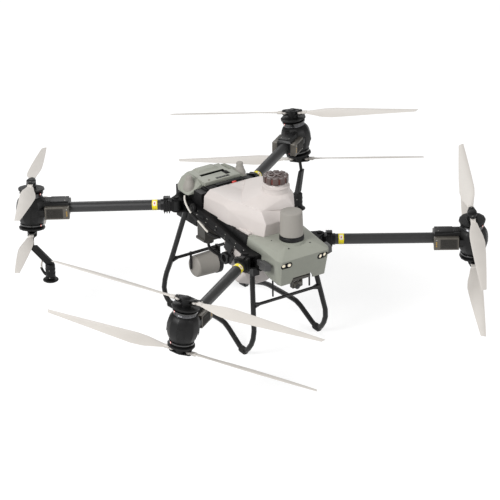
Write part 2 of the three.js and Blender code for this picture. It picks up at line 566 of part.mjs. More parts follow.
const CORNERS = [
  // name, side (+1 is the craft's left), hinge, pod, cant towards the arm's own left, lean, rotor hand of the top rotor
  { name: "front_left", s: 1, hinge: FRONT_HINGE, pod: FRONT_POD, cant: -FRONT_CANT, lean: FRONT_LEAN, ccw: false },
  { name: "front_right", s: -1, hinge: FRONT_HINGE, pod: FRONT_POD, cant: FRONT_CANT, lean: FRONT_LEAN, ccw: true },
  { name: "rear_left", s: 1, hinge: REAR_HINGE, pod: REAR_POD, cant: REAR_CANT, lean: REAR_LEAN, ccw: true },
  { name: "rear_right", s: -1, hinge: REAR_HINGE, pod: REAR_POD, cant: -REAR_CANT, lean: REAR_LEAN, ccw: false },
];
const rad = (d) => (d * Math.PI) / 180;
for (const c of CORNERS) {
  const dx = (c.pod[0] - c.hinge[0]) * c.s, dy = c.pod[1] - c.hinge[1], dz = c.pod[2] - c.hinge[2];
  const flat = Math.hypot(dx, dy), L = Math.hypot(flat, dz);
  // the hinge pin stays upright; the arm droops a little from it
  const arm = new THREE.Group();
  arm.position.set(c.hinge[0] * c.s, c.hinge[1], c.hinge[2]);
  arm.rotation.z = Math.atan2(dy, dx);
  drone.add(arm);
  const droop = Math.atan2(-dz, flat);
  const drooped = (g) => g.rotateY(droop);
  // mast in the arm's frame: leaning back along the arm and canted about it
  const m = new THREE.Vector3(-Math.sin(rad(c.lean)), Math.sin(rad(c.cant)), 0);
  m.z = Math.sqrt(1 - m.x * m.x - m.y * m.y);
  const span = new THREE.Vector3(0, 1, 0).addScaledVector(m, -m.y).normalize();
  const frame = new THREE.Matrix4().makeBasis(span, new THREE.Vector3().crossVectors(m, span), m);
  const mast = new THREE.Quaternion().setFromRotationMatrix(frame);
  const centre = new THREE.Vector3(flat, 0, dz);

  add(arm, `arm_${c.name}`, cut(join(knuckle(), drooped(armGeometry(L))),
    box(-40, 28, -60, 60, KNUCKLE_H / 2, 80), box(-40, 28, -60, 60, -80, -KNUCKLE_H / 2),
    rod([0, 0, -40], [0, 0, 40], PIN_R + 0.5, 16)), CARBON);
  add(arm, `pod_${c.name}`, drooped(podGeometry(L, mast, droop)), BLACK);

  const hub = new THREE.Group();
  hub.position.copy(centre);
  hub.quaternion.copy(mast);
  arm.add(hub);
  const rear = c.name.startsWith("rear");
  for (const level of ["upper", "lower"]) {
    const rotor = new THREE.Group();
    if (level === "lower") rotor.rotation.x = Math.PI;
    hub.add(rotor);
    add(rotor, `rotor_${level}_${c.name}`, rear && level === "lower" ? HEAD_BORED : HEAD, BLACK);
    const blade = flip(BLADE_CCW, [1, c.ccw ? 1 : -1, level === "upper" ? 1 : -1]);
    for (const k of [1, 2]) {
      const b = add(rotor, `blade_${level}_${c.name}_${k}`, blade, BLADE);
      b.position.set(k === 1 ? PIVOT : -PIVOT, 0, BLADE_Z);
      if (k === 2) b.rotation.z = Math.PI;
    }
  }
  if (rear) {
    const drop = dropPipe(flat, mast, c.s > 0 ? -1 : 1);
    add(arm, `nozzle_drop_${c.name}`, drop.geometry.translate(0, 0, dz), BLACK);
    const disc = turned([[0, -90], [6, -90], [DISC_R - 6, -88], [DISC_R, -84], [DISC_R, -80], [DISC_R - 5, -77 + 0.3], [0, -76.5]], 20);
    disc.translate(drop.at[0], drop.at[1], drop.at[2] + dz);
    add(arm, `spray_disc_${c.name}`, disc, BLACK);
  }
}

// origin under the middle of the craft, on the ground
const reach = new THREE.Box3().setFromObject(drone, true);
drone.position.set(0, -(reach.min.y + reach.max.y) / 2, -reach.min.z);

export default drone;
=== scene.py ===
"""Agricultural spraying drone: finishes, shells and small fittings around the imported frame."""

import json
import math

import bmesh
import bpy
from mathutils import Matrix, Quaternion, Vector
from mathutils.bvhtree import BVHTree

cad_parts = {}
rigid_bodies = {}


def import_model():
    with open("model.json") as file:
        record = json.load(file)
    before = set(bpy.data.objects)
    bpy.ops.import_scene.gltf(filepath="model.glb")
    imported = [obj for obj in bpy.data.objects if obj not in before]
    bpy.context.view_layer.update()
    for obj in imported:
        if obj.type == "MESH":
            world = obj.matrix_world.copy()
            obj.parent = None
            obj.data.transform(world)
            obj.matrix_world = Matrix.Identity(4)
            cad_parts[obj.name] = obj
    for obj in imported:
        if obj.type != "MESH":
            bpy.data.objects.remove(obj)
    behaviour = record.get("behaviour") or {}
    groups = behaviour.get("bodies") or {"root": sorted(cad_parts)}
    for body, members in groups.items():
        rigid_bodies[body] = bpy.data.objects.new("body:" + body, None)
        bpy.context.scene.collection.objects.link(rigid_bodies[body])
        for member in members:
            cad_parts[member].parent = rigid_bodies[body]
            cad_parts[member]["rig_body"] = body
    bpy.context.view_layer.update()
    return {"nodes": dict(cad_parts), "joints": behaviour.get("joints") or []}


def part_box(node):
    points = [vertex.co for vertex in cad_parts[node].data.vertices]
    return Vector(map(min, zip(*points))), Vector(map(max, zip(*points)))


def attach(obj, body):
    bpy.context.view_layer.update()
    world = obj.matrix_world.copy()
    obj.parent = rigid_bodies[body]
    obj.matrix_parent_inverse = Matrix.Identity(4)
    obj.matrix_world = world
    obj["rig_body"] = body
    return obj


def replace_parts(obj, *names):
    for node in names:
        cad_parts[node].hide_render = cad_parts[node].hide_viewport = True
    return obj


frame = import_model()

MM = 0.001
JOINTS = {j["name"]: j for j in frame["joints"]}
CORNERS = ("front_left", "front_right", "rear_left", "rear_right")
SIDES = ((1, "left"), (-1, "right"))

# The drawing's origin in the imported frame, from the one joint whose drawn place is plain.
CAMERA_PIVOT_DRAWN = Vector((-30, -466, 392))
ORIGIN = Vector(JOINTS["camera_tilt"]["pos_m"]) - CAMERA_PIVOT_DRAWN * MM


def drawn(x, y, z):
    """A point of the drawing, in millimetres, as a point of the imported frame."""
    return ORIGIN + Vector((x, y, z)) * MM


# ------------------------------------------------------------------ camera and light
VIEW_AZIMUTH, VIEW_ELEVATION, VIEW_ROLL = -33.58, 24.98, -1.02
VIEW_DISTANCE, LENS, SENSOR = 15.583, 226.7, 36.0
VIEW_SHIFT = (0.0053, 0.0606)
VIEW_TARGET = drawn(19, 31, 212.3)
LAMP_TARGET = Vector((0, 0, 0.4))
# lamps: name, place in metres, size in metres, power in watts
LAMPS = (("key", (-6.0, -1.2, 4.8), 3.0, 480), ("fill", (3.5, -6.0, 3.0), 4.0, 190),
         ("back", (2.0, 5.0, 4.5), 3.0, 90))


def make_camera():
    a, e = math.radians(VIEW_AZIMUTH), math.radians(VIEW_ELEVATION)
    back = Vector((math.sin(a) * math.cos(e), -math.cos(a) * math.cos(e), math.sin(e)))
    camera = bpy.data.objects.new("camera_view", bpy.data.cameras.new("camera_view"))
    bpy.context.scene.collection.objects.link(camera)
    camera.location = VIEW_TARGET + back * VIEW_DISTANCE
    camera.rotation_mode = "QUATERNION"
    turn = Quaternion(back, math.radians(VIEW_ROLL))
    camera.rotation_quaternion = turn @ (-back).to_track_quat("-Z", "Y")
    camera.data.lens, camera.data.sensor_width = LENS, SENSOR
    camera.data.shift_x, camera.data.shift_y = VIEW_SHIFT
    camera.data.clip_start, camera.data.clip_end = 0.1, 100
    bpy.context.scene.camera = camera


def make_lamps():
    for name, place, size, power in LAMPS:
        data = bpy.data.lights.new(name, "AREA")
        data.size, data.energy = size, power
        lamp = bpy.data.objects.new(name, data)
        bpy.context.scene.collection.objects.link(lamp)
        lamp.location = place
        aim = LAMP_TARGET - Vector(place)
        lamp.rotation_mode = "QUATERNION"
        lamp.rotation_quaternion = aim.to_track_quat("-Z", "Y")


# ------------------------------------------------------------------ shader helpers
FLOAT, COLOUR, VECTOR = "NodeSocketFloat", "NodeSocketColor", "NodeSocketVector"


def new_group(name, inputs, outputs):
    """A shader node group with named sockets: {name: (kind, default)} in, {name: kind} out."""
    group = bpy.data.node_groups.new(name, "ShaderNodeTree")
    for label, (kind, default) in inputs.items():
        socket = group.interface.new_socket(label, in_out="INPUT", socket_type=kind)
        if default is not None:
            socket.default_value = default
    for label, kind in outputs.items():
        group.interface.new_socket(label, in_out="OUTPUT", socket_type=kind)
    return group, group.nodes.new("NodeGroupInput").outputs, group.nodes.new("NodeGroupOutput")


def set_inputs(tree, node, values):
    """Sets a node's inputs to numbers and colours, or links other nodes' outputs to them."""
    for key, value in values.items():
        if isinstance(value, bpy.types.NodeSocket):
            tree.links.new(value, node.inputs[key])
        else:
            node.inputs[key].default_value = value


def add_node(tree, kind, values=None, **settings):
    node = tree.nodes.new(kind)
    for key, value in settings.items():
        setattr(node, key, value)
    set_inputs(tree, node, values or {})
    return node


def math_node(tree, operation, a, b):
    """A Math node whose inputs are numbers or sockets."""
    return add_node(tree, "ShaderNodeMath", {0: a, 1: b}, operation=operation).outputs[0]


def blend_colour(tree, factor, a, b):
    """A Mix node whose inputs are numbers, colours or sockets."""
    node = add_node(tree, "ShaderNodeMix", {0: factor, 6: a, 7: b}, data_type="RGBA", blend_type="MIX")
    return node.outputs[2]


def noise_node(tree, vector, scale, detail, roughness=0.5):
    values = {"Vector": vector, "Scale": scale, "Detail": detail, "Roughness": roughness}
    return add_node(tree, "ShaderNodeTexNoise", values).outputs[0]


def bump_node(tree, height, strength, distance):
    values = {"Height": height, "Strength": strength, "Distance": distance}
    return add_node(tree, "ShaderNodeBump", values).outputs[0]


def moulded_grain():
    """Fine spark-eroded grain, slow colour drift and faint dust on upward faces."""
    tree, given, out = new_group(
        "moulded_grain",
        {"Colour": (COLOUR, (0.5, 0.5, 0.5, 1)), "Drift": (FLOAT, 0.06), "Grain size": (FLOAT, 900.0),
         "Dust": (FLOAT, 0.0), "Dust colour": (COLOUR, (0.55, 0.5, 0.43, 1)),
         "Roughness": (FLOAT, 0.5), "Vector": (VECTOR, None)},
        {"Colour": COLOUR, "Roughness": FLOAT, "Height": FLOAT})
    fine = noise_node(tree, given["Vector"], given["Grain size"], 2.0, 0.6)
    slow = noise_node(tree, given["Vector"], 9.0, 4.0, 0.55)
    patch = noise_node(tree, given["Vector"], 26.0, 6.0, 0.7)
    swing, speck = (math_node(tree, "MULTIPLY", math_node(tree, "SUBTRACT", noise, 0.5), given["Drift"])
                    for noise in (slow, fine))
    change = math_node(tree, "ADD", math_node(tree, "MULTIPLY", swing, 4.0), speck)
    level = math_node(tree, "ADD", 1.0, change)
    tint = add_node(tree, "ShaderNodeVectorMath", {0: given["Colour"], "Scale": level}, operation="SCALE")
    normal = add_node(tree, "ShaderNodeNewGeometry").outputs["Normal"]
    height = add_node(tree, "ShaderNodeSeparateXYZ", {0: normal}).outputs[2]
    upward = math_node(tree, "MULTIPLY", math_node(tree, "MAXIMUM", height, 0.0), patch)
    dusty = math_node(tree, "MULTIPLY", upward, given["Dust"])
    rough = math_node(tree, "ADD", given["Roughness"], math_node(tree, "MULTIPLY", swing, 1.5))
    set_inputs(tree, out, {
        "Colour": blend_colour(tree, dusty, tint.outputs[0], given["Dust colour"]),
        "Roughness": math_node(tree, "ADD", rough, math_node(tree, "MULTIPLY", dusty, 0.3)),
        "Height": fine})
    return tree


def edge_wear():
    """Paler rubbed edges, broken up by noise."""
    tree, given, out = new_group(
        "edge_wear",
        {"Colour": (COLOUR, (0.5, 0.5, 0.5, 1)), "Worn colour": (COLOUR, (0.3, 0.3, 0.3, 1)),
         "Amount": (FLOAT, 0.3), "Vector": (VECTOR, None)},
        {"Colour": COLOUR})
    sharpness = add_node(tree, "ShaderNodeNewGeometry").outputs["Pointiness"]
    ramp = add_node(tree, "ShaderNodeMapRange", {0: sharpness, "From Min": 0.505, "From Max": 0.56})
    noise = noise_node(tree, given["Vector"], 60.0, 5.0, 0.7)
    mask = math_node(tree, "MULTIPLY", math_node(tree, "MULTIPLY", ramp.outputs[0], noise), given["Amount"])
    set_inputs(tree, out, {"Colour": blend_colour(tree, mask, given["Colour"], given["Worn colour"])})
    return tree


GRAIN, WEAR = moulded_grain(), edge_wear()
GRAIN_DEPTH, WEAVE_DEPTH = 0.0006, 0.0004
COAT_ROUGHNESS = 0.08
TWILL_ANGLE, TWILL_SCALE = 0.785, 95.0


def new_material(name):
    """A material, its tree, its Principled shader and the object coordinates."""
    material = bpy.data.materials.new(name)
    material.use_nodes = True
    tree = material.node_tree
    shader = next(n for n in tree.nodes if n.type == "BSDF_PRINCIPLED")
    return material, tree, shader, add_node(tree, "ShaderNodeTexCoord").outputs["Object"]


def linear(*rgb):
    """Display colour, 0 to 1 a channel, as the linear colour a shader takes."""
    return tuple(c / 12.92 if c <= 0.04045 else ((c + 0.055) / 1.055) ** 2.4 for c in rgb) + (1.0,)


def moulded(name, colour, roughness, grain=900.0, bump=0.05, drift=0.06, dust=0.0, wear=0.0,
            worn=(0.4, 0.4, 0.4), metallic=0.0, coat=0.0, specular=0.5):
    """Moulded or painted surface: grain, drift, dust and rubbed edges."""
    material, tree, shader, place = new_material(name)
    grained = add_node(tree, "ShaderNodeGroup", {
        "Colour": linear(*colour), "Drift": drift, "Grain size": grain, "Dust": dust,
        "Roughness": roughness, "Vector": place}, node_tree=GRAIN).outputs
    rubbed = add_node(tree, "ShaderNodeGroup", {
        "Colour": grained["Colour"], "Worn colour": linear(*worn), "Amount": wear,
        "Vector": place}, node_tree=WEAR).outputs
    set_inputs(tree, shader, {
        "Base Color": rubbed["Colour"], "Roughness": grained["Roughness"],
        "Normal": bump_node(tree, grained["Height"], bump, GRAIN_DEPTH), "Metallic": metallic,
        "Coat Weight": coat, "Coat Roughness": COAT_ROUGHNESS, "Specular IOR Level": specular})
    return material


def woven_carbon(name, colour, stripe):
    """Twill on a tube: the piece's own UV map runs round it and along it, in metres."""
    material, tree, shader, _ = new_material(name)
    uv = add_node(tree, "ShaderNodeUVMap").outputs[0]
    waves = []
    for angle in (TWILL_ANGLE, -TWILL_ANGLE):
        turned = add_node(tree, "ShaderNodeMapping", {"Vector": uv, "Rotation": (0.0, 0.0, angle)}).outputs[0]
        wave = {"Vector": turned, "Scale": TWILL_SCALE, "Distortion": 0.0}
        waves.append(add_node(tree, "ShaderNodeTexWave", wave, bands_direction="X").outputs["Fac"])
    weave = math_node(tree, "MULTIPLY", *waves)
    streak = noise_node(tree, uv, 30.0, 5.0)
    mask = math_node(tree, "MULTIPLY", weave, streak)
    set_inputs(tree, shader, {
        "Base Color": blend_colour(tree, mask, linear(*colour), linear(*stripe)),
        "Roughness": math_node(tree, "ADD", 0.36, math_node(tree, "MULTIPLY", streak, 0.14)),
        "Normal": bump_node(tree, weave, 0.15, WEAVE_DEPTH)})
    return material


def glossy(name, colour, roughness=0.08, emission=0.0):
    """Lens glass, indicator lights and lit display marks; also the window lenses' pale glow, which is a
    painted glint.
    """
    material, tree, shader, place = new_material(name)
    noise = noise_node(tree, place, 180.0, 3.0)
    darker = [c * 0.9 for c in colour]
    set_inputs(tree, shader, {
        "Base Color": blend_colour(tree, noise, linear(*colour), linear(*darker)),
        "Roughness": math_node(tree, "ADD", roughness, math_node(tree, "MULTIPLY", noise, 0.05)),
        "Emission Color": linear(*colour), "Emission Strength": emission})
    return material


LOOKS = {
    "shell": moulded("shell_grey_green", (0.565, 0.575, 0.535), 0.52, bump=0.10, dust=0.08, wear=0.25,
                     worn=(0.68, 0.68, 0.64)),
    "dome": moulded("dome_warm_grey", (0.585, 0.57, 0.545), 0.62, bump=0.06, drift=0.04),
    "tank": moulded("tank_off_white", (0.80, 0.77, 0.755), 0.42, grain=500, bump=0.05, drift=0.03, dust=0.05),
    "cap": moulded("cap_brown", (0.25, 0.205, 0.195), 0.34, bump=0.08, drift=0.2, wear=0.5,
                   worn=(0.5, 0.42, 0.4)),
    "cap_inner": moulded("cap_inner_red", (0.42, 0.22, 0.19), 0.5),
    "blade": moulded("blade_off_white", (0.80, 0.78, 0.755), 0.42, grain=700, bump=0.03, drift=0.03),
    "black": moulded("black_moulded", (0.055, 0.055, 0.058), 0.5, bump=0.12, drift=0.12, dust=0.008,
                     wear=0.15, worn=(0.24, 0.24, 0.24), specular=0.25),
    "deep_black": moulded("deep_black", (0.018, 0.018, 0.019), 0.7, bump=0.05, specular=0.15),
    "frame": moulded("frame_black", (0.04, 0.04, 0.042), 0.55, bump=0.08, drift=0.12, wear=0.2,
                     worn=(0.22, 0.22, 0.22), specular=0.14),
    "pod": moulded("pod_black", (0.05, 0.05, 0.052), 0.42, bump=0.10, drift=0.12, wear=0.18,
                   worn=(0.24, 0.24, 0.24), specular=0.26),
    "leg": moulded("leg_black", (0.06, 0.06, 0.062), 0.42, bump=0.05, drift=0.12, dust=0.012, specular=0.35),
    "rubber": moulded("foot_rubber", (0.10, 0.10, 0.10), 0.75, grain=600, bump=0.15, dust=0.04),
    "ring": moulded("ring_steel", (0.50, 0.50, 0.51), 0.24, bump=0.02, metallic=1.0),
    "gloss_black": moulded("ring_gloss_black", (0.045, 0.045, 0.048), 0.14, bump=0.0, coat=0.7),
    "esc": moulded("controller_brown_grey", (0.33, 0.315, 0.29), 0.40, bump=0.05, metallic=0.45, wear=0.4,
                   worn=(0.55, 0.53, 0.5)),
    "esc_panel": moulded("controller_panel", (0.215, 0.205, 0.19), 0.48, bump=0.10, metallic=0.3),
    "pump": moulded("pump_grey", (0.25, 0.245, 0.23), 0.55, bump=0.10, dust=0.04),
    "camera": moulded("camera_grey", (0.30, 0.29, 0.27), 0.48, bump=0.08),
    "lamp": moulded("lamp_grey", (0.26, 0.26, 0.26), 0.42, bump=0.06),
    "hose": moulded("hose_white", (0.82, 0.80, 0.77), 0.45, drift=0.03),
    "yellow": moulded("band_yellow", (0.93, 0.86, 0.10), 0.45, drift=0.03),
    "white_mark": moulded("band_white", (0.90, 0.88, 0.84), 0.45, drift=0.03),
    "red_mark": moulded("mark_red", (0.78, 0.16, 0.10), 0.42, drift=0.03),
    "brass": moulded("contact_brass", (0.72, 0.58, 0.30), 0.3, metallic=0.8),
    "screw": moulded("screw_steel", (0.62, 0.61, 0.59), 0.3, metallic=0.85),
    "dark_screw": moulded("screw_black", (0.17, 0.17, 0.17), 0.35, metallic=0.6),
    "panel": moulded("display_panel", (0.05, 0.05, 0.047), 0.45, drift=0.05, specular=0.2),
    "button": moulded("button_brown", (0.36, 0.32, 0.27), 0.4),
    "carbon": woven_carbon("carbon_tube", (0.15, 0.15, 0.152), (0.205, 0.205, 0.207)),
    "lens": glossy("lens_glass", (0.02, 0.022, 0.028)),
    "light_white": glossy("light_white", (0.93, 0.92, 0.90), 0.2, emission=0.4),
    "light_red": glossy("light_red", (0.85, 0.12, 0.10), 0.2, emission=0.3),
    # the window lenses' pale glowing centres: a painted glint that stands in for their reflection
    "lens_painted_glint": glossy("lens_painted_glint", (0.92, 0.88, 0.78), 0.2, emission=0.45),
    "mark_grey": glossy("mark_grey", (0.36, 0.35, 0.33), 0.3),
}

NODE_LOOKS = {"tank": "tank", "tank_cap": "cap", "nose_shell": "shell", "battery": "shell",
              "rear_shoulder_left": "shell", "rear_shoulder_right": "shell", "front_radar": "dome",
              "rear_radar": "dome", "vision_window_left": "deep_black", "vision_window_right": "deep_black",
              "camera": "camera", "camera_bracket": "camera", "lamp_left": "lamp", "lamp_right": "lamp",
              "pump_left": "pump", "pump_right": "pump", "front_crossbar": "leg", "rear_crossbar": "leg",
              "landing_leg_left": "leg", "landing_leg_right": "leg", "rear_bulkhead": "black",
              "front_cross_member": "black", "side_beam_left": "frame", "side_beam_right": "frame"}
PREFIX_LOOKS = {"arm_": "pod", "pod_": "pod", "rotor_": "pod", "blade_": "blade", "nozzle_drop_": "black",
                "spray_disc_": "black"}


def look_of(node):
    if node in NODE_LOOKS:
        return LOOKS[NODE_LOOKS[node]]
    return next(LOOKS[look] for prefix, look in PREFIX_LOOKS.items() if node.startswith(prefix))


BODY_OF = {n: o["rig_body"] for n, o in frame["nodes"].items()}


def paint_nodes():
    for name, node in frame["nodes"].items():
        node.data.materials.clear()
        node.data.materials.append(look_of(name))


# ------------------------------------------------------------------ mesh helpers
MERGE, CAD_MERGE = 2e-6, 2e-5
IDENTITY = Matrix.Identity(4)


def object_of(name, bm, material, angle):
    """The bmesh as a smooth object whose edges are sharp past an angle in degrees."""
    mesh = bpy.data.meshes.new(name)
    bm.to_mesh(mesh)
    bm.free()
    mesh.materials.append(material)
    mesh.polygons.foreach_set("use_smooth", [True] * len(mesh.polygons))
    mesh.set_sharp_from_angle(angle=math.radians(angle))
    made = bpy.data.objects.new(name, mesh)
    bpy.context.scene.collection.objects.link(made)
    return made


def piece(name, bm, look, body, angle=35):
    """Turns a bmesh into a finished object that rides on a body."""
    bmesh.ops.remove_doubles(bm, verts=bm.verts, dist=MERGE)
    bmesh.ops.recalc_face_normals(bm, faces=bm.faces)
    made = object_of(name, bm, LOOKS[look], angle)
    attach(made, body)
    return made


def rounded(node, width, segments=3, angle=25, sharp=40):
    """A CAD node's copy with its edges rounded, standing for the node."""
    bm = bmesh.new()
    bm.from_mesh(frame["nodes"][node].data)
    bmesh.ops.remove_doubles(bm, verts=bm.verts, dist=CAD_MERGE)
    bmesh.ops.dissolve_limit(bm, angle_limit=math.radians(1.5), verts=bm.verts, edges=bm.edges)
    made = object_of(node + "_finished", bm, look_of(node), sharp)
    bevel = made.modifiers.new("rounding", "BEVEL")
    bevel.width, bevel.segments = width * MM, segments
    bevel.limit_method, bevel.angle_limit = "ANGLE", math.radians(angle)
    bevel.harden_normals = True
    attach(made, BODY_OF[node])
    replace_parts(made, node)


def shift(x, y, z):
    """A move in mm."""
    return Matrix.Translation((x * MM, y * MM, z * MM))


def turn(angle, axis="Z"):
    """A turn in radians about an axis."""
    return Matrix.Rotation(angle, 4, axis)


def around(count, start=0.0):
    """Evenly spaced angles of a whole turn."""
    return [start + 2 * math.pi * i / count for i in range(count)]


def axes_at(point, x, y, z):
    """The matrix of a frame at a point, from its three axes."""
    return Matrix.Translation(point) @ Matrix((x, y, z)).transposed().to_4x4()


def lying(point, normal):
    """A frame at a point whose Z is the normal."""
    z = Vector(normal).normalized()
    x = Vector((1, 0, 0)) if abs(z.x) < 0.9 else Vector((0, 1, 0))
    x = (x - z * x.dot(z)).normalized()
    return axes_at(point, x, z.cross(x), z)


def standing_on(node):
    """A frame at the middle of a node's underside, and the node's height in mm."""
    lo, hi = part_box(node)
    return Matrix.Translation(((lo.x + hi.x) / 2, (lo.y + hi.y) / 2, lo.z)), (hi.z - lo.z) / MM


def raised(profile, height):
    """A lathe profile moved up by a height."""
    return [(radius, z + height) for radius, z in profile]


def verts_of(geometry):
    return [g for g in geometry if isinstance(g, bmesh.types.BMVert)]


def lathe(bm, profile, segments, matrix, closed=False):
    """Turns (radius, height) pairs, in mm, about the matrix's Z."""
    before = set(bm.verts)
    verts = [bm.verts.new((r * MM, 0, z * MM)) for r, z in profile]
    loop = verts + verts[:1] if closed else verts
    edges = [bm.edges.new(pair) for pair in zip(loop, loop[1:])]
    bmesh.ops.spin(bm, geom=verts + edges, cent=(0, 0, 0), axis=(0, 0, 1), dvec=(0, 0, 0),
                   angle=2 * math.pi, steps=segments, use_merge=True, use_duplicate=False)
    fresh = [v for v in bm.verts if v not in before]
    bmesh.ops.remove_doubles(bm, verts=fresh, dist=1e-6)
    fresh = [v for v in bm.verts if v not in before]
    bmesh.ops.transform(bm, matrix=matrix, verts=fresh)


def round_edges(bm, edges, width, segments, clamp=True):
    """Rounds edges to a width in mm."""
    bmesh.ops.bevel(bm, geom=edges, offset=width * MM, affect="EDGES", segments=segments, profile=0.5,
                    material=-1, clamp_overlap=clamp)


def block(bm, lo, hi, matrix, bevel=0.0, segments=2):
    """A box between two corners, in mm, with rounded edges."""
    before = set(bm.verts)
    size = [(h - l) * MM for l, h in zip(lo, hi)]
    centre = Vector([(h + l) / 2 * MM for l, h in zip(lo, hi)])
    place = Matrix.Translation(centre) @ Matrix.Diagonal((*size, 1))
    made = bmesh.ops.create_cube(bm, size=1, matrix=place)
    if bevel:
        round_edges(bm, list({e for v in made["verts"] for e in v.link_edges}), bevel, segments)
    fresh = [v for v in bm.verts if v not in before]
    bmesh.ops.transform(bm, matrix=matrix, verts=fresh)


def disc(bm, centre, radius, thickness, matrix, segments=20, rim=0.3):
    """A short round boss standing on a centre, in mm, with a chamfered rim."""
    profile = [(0, 0), (radius, 0), (radius, thickness - rim), (radius - rim, thickness), (0, thickness)]
    lathe(bm, profile, segments, matrix @ Matrix.Translation(Vector(centre) * MM))


def tube(name, points, radius, look, body):
    """A hose along points in metres, its radius in mm."""
    curve = bpy.data.curves.new(name, "CURVE")
    curve.dimensions = "3D"
    curve.bevel_depth, curve.bevel_resolution = radius * MM, 5
    curve.use_fill_caps = True
    spline = curve.splines.new("NURBS")
    spline.points.add(len(points) - 1)
    for knot, place in zip(spline.points, points):
        knot.co = (*place, 1)
    spline.order_u = min(4, len(points))
    spline.use_endpoint_u = True
    spline.resolution_u = 6
    holder = bpy.data.objects.new(name + "_line", curve)
    bpy.context.scene.collection.objects.link(holder)
    bpy.context.view_layer.update()
    evaluated = holder.evaluated_get(bpy.context.evaluated_depsgraph_get())
    bm = bmesh.new()
    bm.from_mesh(evaluated.to_mesh())
    bpy.data.objects.remove(holder)
    piece(name, bm, look, body)


# ------------------------------------------------------------------ rotors
BLADE_HEIGHT, PIVOT = 129, 42
HEAD_TOP = BLADE_HEIGHT + 12.5
POD_HALF = 86
# fittings over a pivot: name, look, height over the head, radius, thickness, sides, rim
PIVOT_FITTINGS = (("pivot_bolts", "dark_screw", -1, 7.5, 4.2, 6, 0.8),
                  ("pivot_caps", "screw", 3, 3.4, 1, 12, 0.3))

# blade stations: distance from the pivot, chord, thickness, pitch
STATIONS = ((32, 28, 11, 4), (80, 46, 9.5, 15), (130, 68, 8, 19), (190, 78, 7, 18), (320, 66, 5.4, 14),
            (490, 45, 4, 10), (643.8, 24, 2.6, 7))
# blade section: share of the chord ahead of the pivot line, fullness overall and at the nose,
# depth above the chord, flatness below it, and camber
LEAD, FULL, FULL_NOSE, DEPTH, FLAT_BELOW, CAMBER = 0.4, 1.9, 0.18, 0.55, 0.72, 0.027
TIP_SKEW = 10
BLADE_STEPS, SECTION_POINTS = 40, 20
EYE = ((5.8, -6), (12.2, -6), (13, -5), (13, 5), (12.2, 6), (5.8, 6))


def rotor_frame(level, corner):
    """Pod middle, Z along the mast away from the pod, X along the blades towards blade 1."""
    spin = JOINTS[f"rotor_spin_{level}_{corner}"]
    outward = Vector(spin["axis"]) * (1 if level == "upper" else -1)
    one, two = (Vector(JOINTS[f"blade_fold_{level}_{corner}_{k}"]["pos_m"]) for k in (1, 2))
    x = (one - two).normalized()
    return axes_at(Vector(spin["pos_m"]) - outward * BLADE_HEIGHT * MM, x, outward.cross(x), outward)


def station(x):
    """Chord, thickness and pitch at a distance from the pivot, straight between the stations."""
    for (x0, *a), (x1, *b) in zip(STATIONS, STATIONS[1:]):
        if x <= x1:
            t = (x - x0) / (x1 - x0)
            return [p + (q - p) * t for p, q in zip(a, b)]
    return list(STATIONS[-1][1:])


def share_back(angle):
    """How far back along the chord a point of the section lies, 0 to 1."""
    return (1 - math.cos(angle)) / 2


def section_point(x, angle):
    """A point of the blade's section; angle 0 is the leading edge, half a turn the trailing edge."""
    chord, thick, pitch = station(x)
    back = share_back(angle)
    half = FULL * (math.sqrt(max(back, 0)) - back) + FULL_NOSE * (1 - back) * math.sin(math.pi * back)
    y = (LEAD - back) * chord
    z = CAMBER * chord * math.sin(math.pi * back)
    z += (1 if math.sin(angle) >= 0 else -FLAT_BELOW) * half * thick * DEPTH
    a = math.radians(pitch)
    return Vector((x, y * math.cos(a) - z * math.sin(a), y * math.sin(a) + z * math.cos(a)))


def blade_mesh():
    """Blade about its pivot: span +X, leading edge +Y and high."""
    bm = bmesh.new()
    first, last = STATIONS[0][0], STATIONS[-1][0]
    ring = bmesh.ops.create_circle(bm, cap_ends=True, segments=SECTION_POINTS, radius=0.01)["verts"]
    angles = around(SECTION_POINTS)
    for v, angle in zip(ring, angles):
        v.co = section_point(first, angle) * MM
    for i in range(1, BLADE_STEPS + 1):
        x = first + (last - first) * (i / BLADE_STEPS)
        edges = [e for e in bm.edges if all(v in ring for v in e.verts)]
        new = verts_of(bmesh.ops.extrude_edge_only(bm, edges=edges)["geom"])
        nearest = {v: min(new, key=lambda n: (n.co - v.co).length) for v in ring}
        ring = [nearest[v] for v in ring]
        for v, angle in zip(ring, angles):
            v.co = section_point(x, angle) * MM
            if i == BLADE_STEPS:
                v.co.x -= share_back(angle) * TIP_SKEW * MM
    bmesh.ops.contextual_create(bm, geom=ring)
    bmesh.ops.recalc_face_normals(bm, faces=bm.faces)
    return bm


def blade_root(bm):
    """Flat eye round the pivot, and the neck between it and the blade."""
    lathe(bm, EYE, 28, IDENTITY, closed=True)
    block(bm, (12, -12.75, -5.6), (39, 12.75, 5.6), IDENTITY, 2.8, 3)


def blade_hand(name, base, k):
    """+1 when the CAD blade's wide side (its trailing edge) lies towards -Y of the blade's own frame."""
    inverse = (base @ turn(math.pi if k == 2 else 0)).inverted()
    points = [inverse @ v.co for v in frame["nodes"][name].data.vertices]
    ys = [p.y for p in points if p.x > 0.2]
    return 1 if abs(min(ys)) > abs(max(ys)) else -1


def make_blades():
    """Sixteen blades; a lower rotor's are the upper ones' mirror in the rotor plane."""
    for corner in CORNERS:
        for level, up in (("upper", 1), ("lower", -1)):
            base = rotor_frame(level, corner)
            for k in (1, 2):
                name = f"blade_{level}_{corner}_{k}"
                bm = blade_mesh()
                blade_root(bm)
                mirrored = Matrix.Diagonal((1, blade_hand(name, base, k), up, 1))
                place = base @ shift(0, 0, BLADE_HEIGHT) @ turn(math.pi if k == 2 else 0) @ shift(PIVOT, 0, 0)
                bmesh.ops.transform(bm, matrix=place @ mirrored, verts=bm.verts)
                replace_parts(piece(name + "_finished", bm, "blade", name, 50), name)


